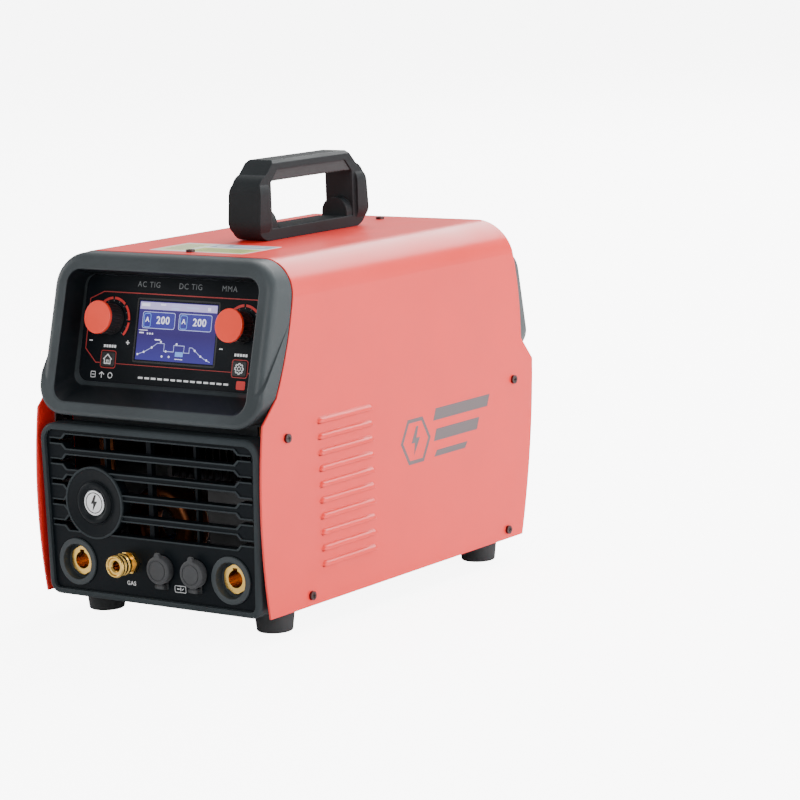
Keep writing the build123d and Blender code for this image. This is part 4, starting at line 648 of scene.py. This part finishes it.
# The black sheet of painted shade behind the louvres stands just inside each side.
SHADE_SHEET_X = 0.1068
for name, sign in (("right", 1), ("left", -1)):
    side = Sheet((sign * SIDE_X, 0, 0), (0, sign, 0), (0, 0, 1))
    cx = sign * 50.0
    hexagon = disc(cx - 45, 122, 19, 6)
    bars = []
    for length, low, height in ((82, 134, 9.5), (66, 117.5, 9.5), (48, 105, 5.0)):
        start, end = cx - 20, cx - 24 + length
        bars.append([(start, low), (end, low), (end + 4, low + height), (start + 4, low + height)])
    for part, outlines in (("hexagon", ribbon(hexagon, 3.0, True)), ("bolt", [bolt(cx - 45, 122, 1.15)]),
                           ("bars", bars)):
        patches(f"{name}_mark_{part}", side, outlines, PRINT_DARK, w=0.0, thick=0.06)

# A black sheet stands inside each side behind the louvres, as painted shade in the louvre openings.
for name, sign in (("right", 1), ("left", -1)):
    inner = Sheet((sign * SHADE_SHEET_X, 0, 0), (0, sign, 0), (0, 0, 1))
    patches(f"{name}_insulation", inner, [box2(sign * -88.0, 108.0, 96.0, 132.0)], M["module_black"],
            w=0.0, thick=0.3)

top = Sheet((0, 0, cover_top), (1, 0, 0), (0, 1, 0))


def on_sticker(name, outlines, material, w=0.13):
    return patches(name, top, outlines, material, w=w, thick=0.03)


# One sticker on the top: pale fields, and bars in place of its text.
patches("top_label", top, [rounded(4, -104, 92, 50, 2)], STICKER_WHITE, w=0.0, thick=0.12)
on_sticker("top_label_left", [box2(-26, -104, 26, 40)], STICKER_PALE)
on_sticker("top_label_band", [box2(20, -114, 56, 24)], STICKER_GREEN)
on_sticker("top_label_head", [box2(20, -89, 56, 16)], STICKER_BLUE)
label_lines = [box2(20, -107 - 4.4 * k, 44, 1.1) for k in range(4)]
label_lines += [box2(-26, -92 - 6 * k, 18, 1.2) for k in range(5)]
on_sticker("top_label_lines", label_lines, PRINT_GREY, 0.17)
on_sticker("top_label_mark", [disc(0, -89, 5, 24), box2(24, -87, 30, 2.4), box2(24, -91.5, 24, 1.2)],
           STICKER_WHITE, 0.17)

# ------------------------------------------------------------------ handle detail
handle_low, handle_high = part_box("handle_body")
handle_y = (handle_low.y + handle_high.y) / 2
BASE_TOP = handle_low.z + 0.0088
RIB_COUNT, RIB_PITCH, RIB_STEPS = 24, 0.0036, 6
RIB_HALF_LENGTH, RIB_HALF_WIDTH, RIB_HEIGHT = 0.0128, 0.0014, 0.0007
bm = bmesh.new()
for k in range(RIB_COUNT):
    # Low rounded ribs across the base bar, under the hand.
    centre = Vector((0, handle_y + (k - (RIB_COUNT - 1) / 2) * RIB_PITCH, BASE_TOP))
    rows = []
    for x in (-RIB_HALF_LENGTH, RIB_HALF_LENGTH):
        row = []
        for i in range(RIB_STEPS + 1):
            angle = math.pi * i / RIB_STEPS
            row.append(bm.verts.new(centre + Vector((x, RIB_HALF_WIDTH * math.cos(angle),
                                                     RIB_HEIGHT * math.sin(angle)))))
        rows.append(row)
    for i in range(RIB_STEPS):
        bm.faces.new((rows[0][i], rows[0][i + 1], rows[1][i + 1], rows[1][i]))
    bm.faces.new(rows[0])
    bm.faces.new(list(reversed(rows[1])))
finish_piece(new_object("handle_ribs", bm, M["handle_plastic"]), "chassis")

# ------------------------------------------------------------------ back
# The switch's pivot is 3 mm under the rear panel, which leans like the rear hood.
REAR_LEAN = math.radians(11)
PLATE_HALF_THICK = 0.26
plate_low, plate_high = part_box("rating_plate")
rear = Sheet(JOINTS["power_switch_rock"]["pos_m"], (-1, 0, 0),
             (0, -math.sin(REAR_LEAN), math.cos(REAR_LEAN)))
rear.origin = rear.at(0, 0, 3.0)
offset = (plate_low + plate_high) / 2 - rear.origin
pu, pv, pw = (offset.dot(way) / MM for way in (rear.u_dir, rear.v_dir, rear.w_dir))
lines = [box2(pu, pv + 20 - 5.2 * k, 66, 0.5) for k in range(9)]
lines += [box2(pu - 12, pv, 0.5, 41), box2(pu + 14, pv, 0.5, 41)]
patches("rating_plate_lines", rear, lines, PRINT_DARK, w=pw + PLATE_HALF_THICK, thick=0.04)
for name, outlines in (("on", ribbon([(0, 20.6), (0, 24.0)], 0.9)),
                       ("off", ribbon(disc(0, -22.4, 1.7, 18), 0.8, True))):
    patches(f"switch_{name}_mark", rear, outlines, PRINT_WHITE, w=0.0, thick=0.06)

# ------------------------------------------------------------------ floor
# The floor glows for the camera only, so that it reads as a white studio floor.
FLOOR_GLOW = 7.0
bm = bmesh.new()
bmesh.ops.create_circle(bm, cap_ends=True, radius=60.0, segments=64)
floor_white = surface("floor_white", (0.86, 0.86, 0.86), 0.7, vary=0.01, vary_scale=1.0)
seen = node(floor_white.node_tree, "ShaderNodeLightPath")
glow = node(floor_white.node_tree, "ShaderNodeMath", operation="MULTIPLY")
glow.inputs[1].default_value = FLOOR_GLOW
floor_bsdf = principled(floor_white)
floor_bsdf.inputs["Emission Color"].default_value = (1, 1, 1, 1)
floor_white.node_tree.links.new(seen.outputs["Is Camera Ray"], glow.inputs[0])
floor_white.node_tree.links.new(glow.outputs["Value"], floor_bsdf.inputs["Emission Strength"])
floor = new_object("floor", bm, floor_white)
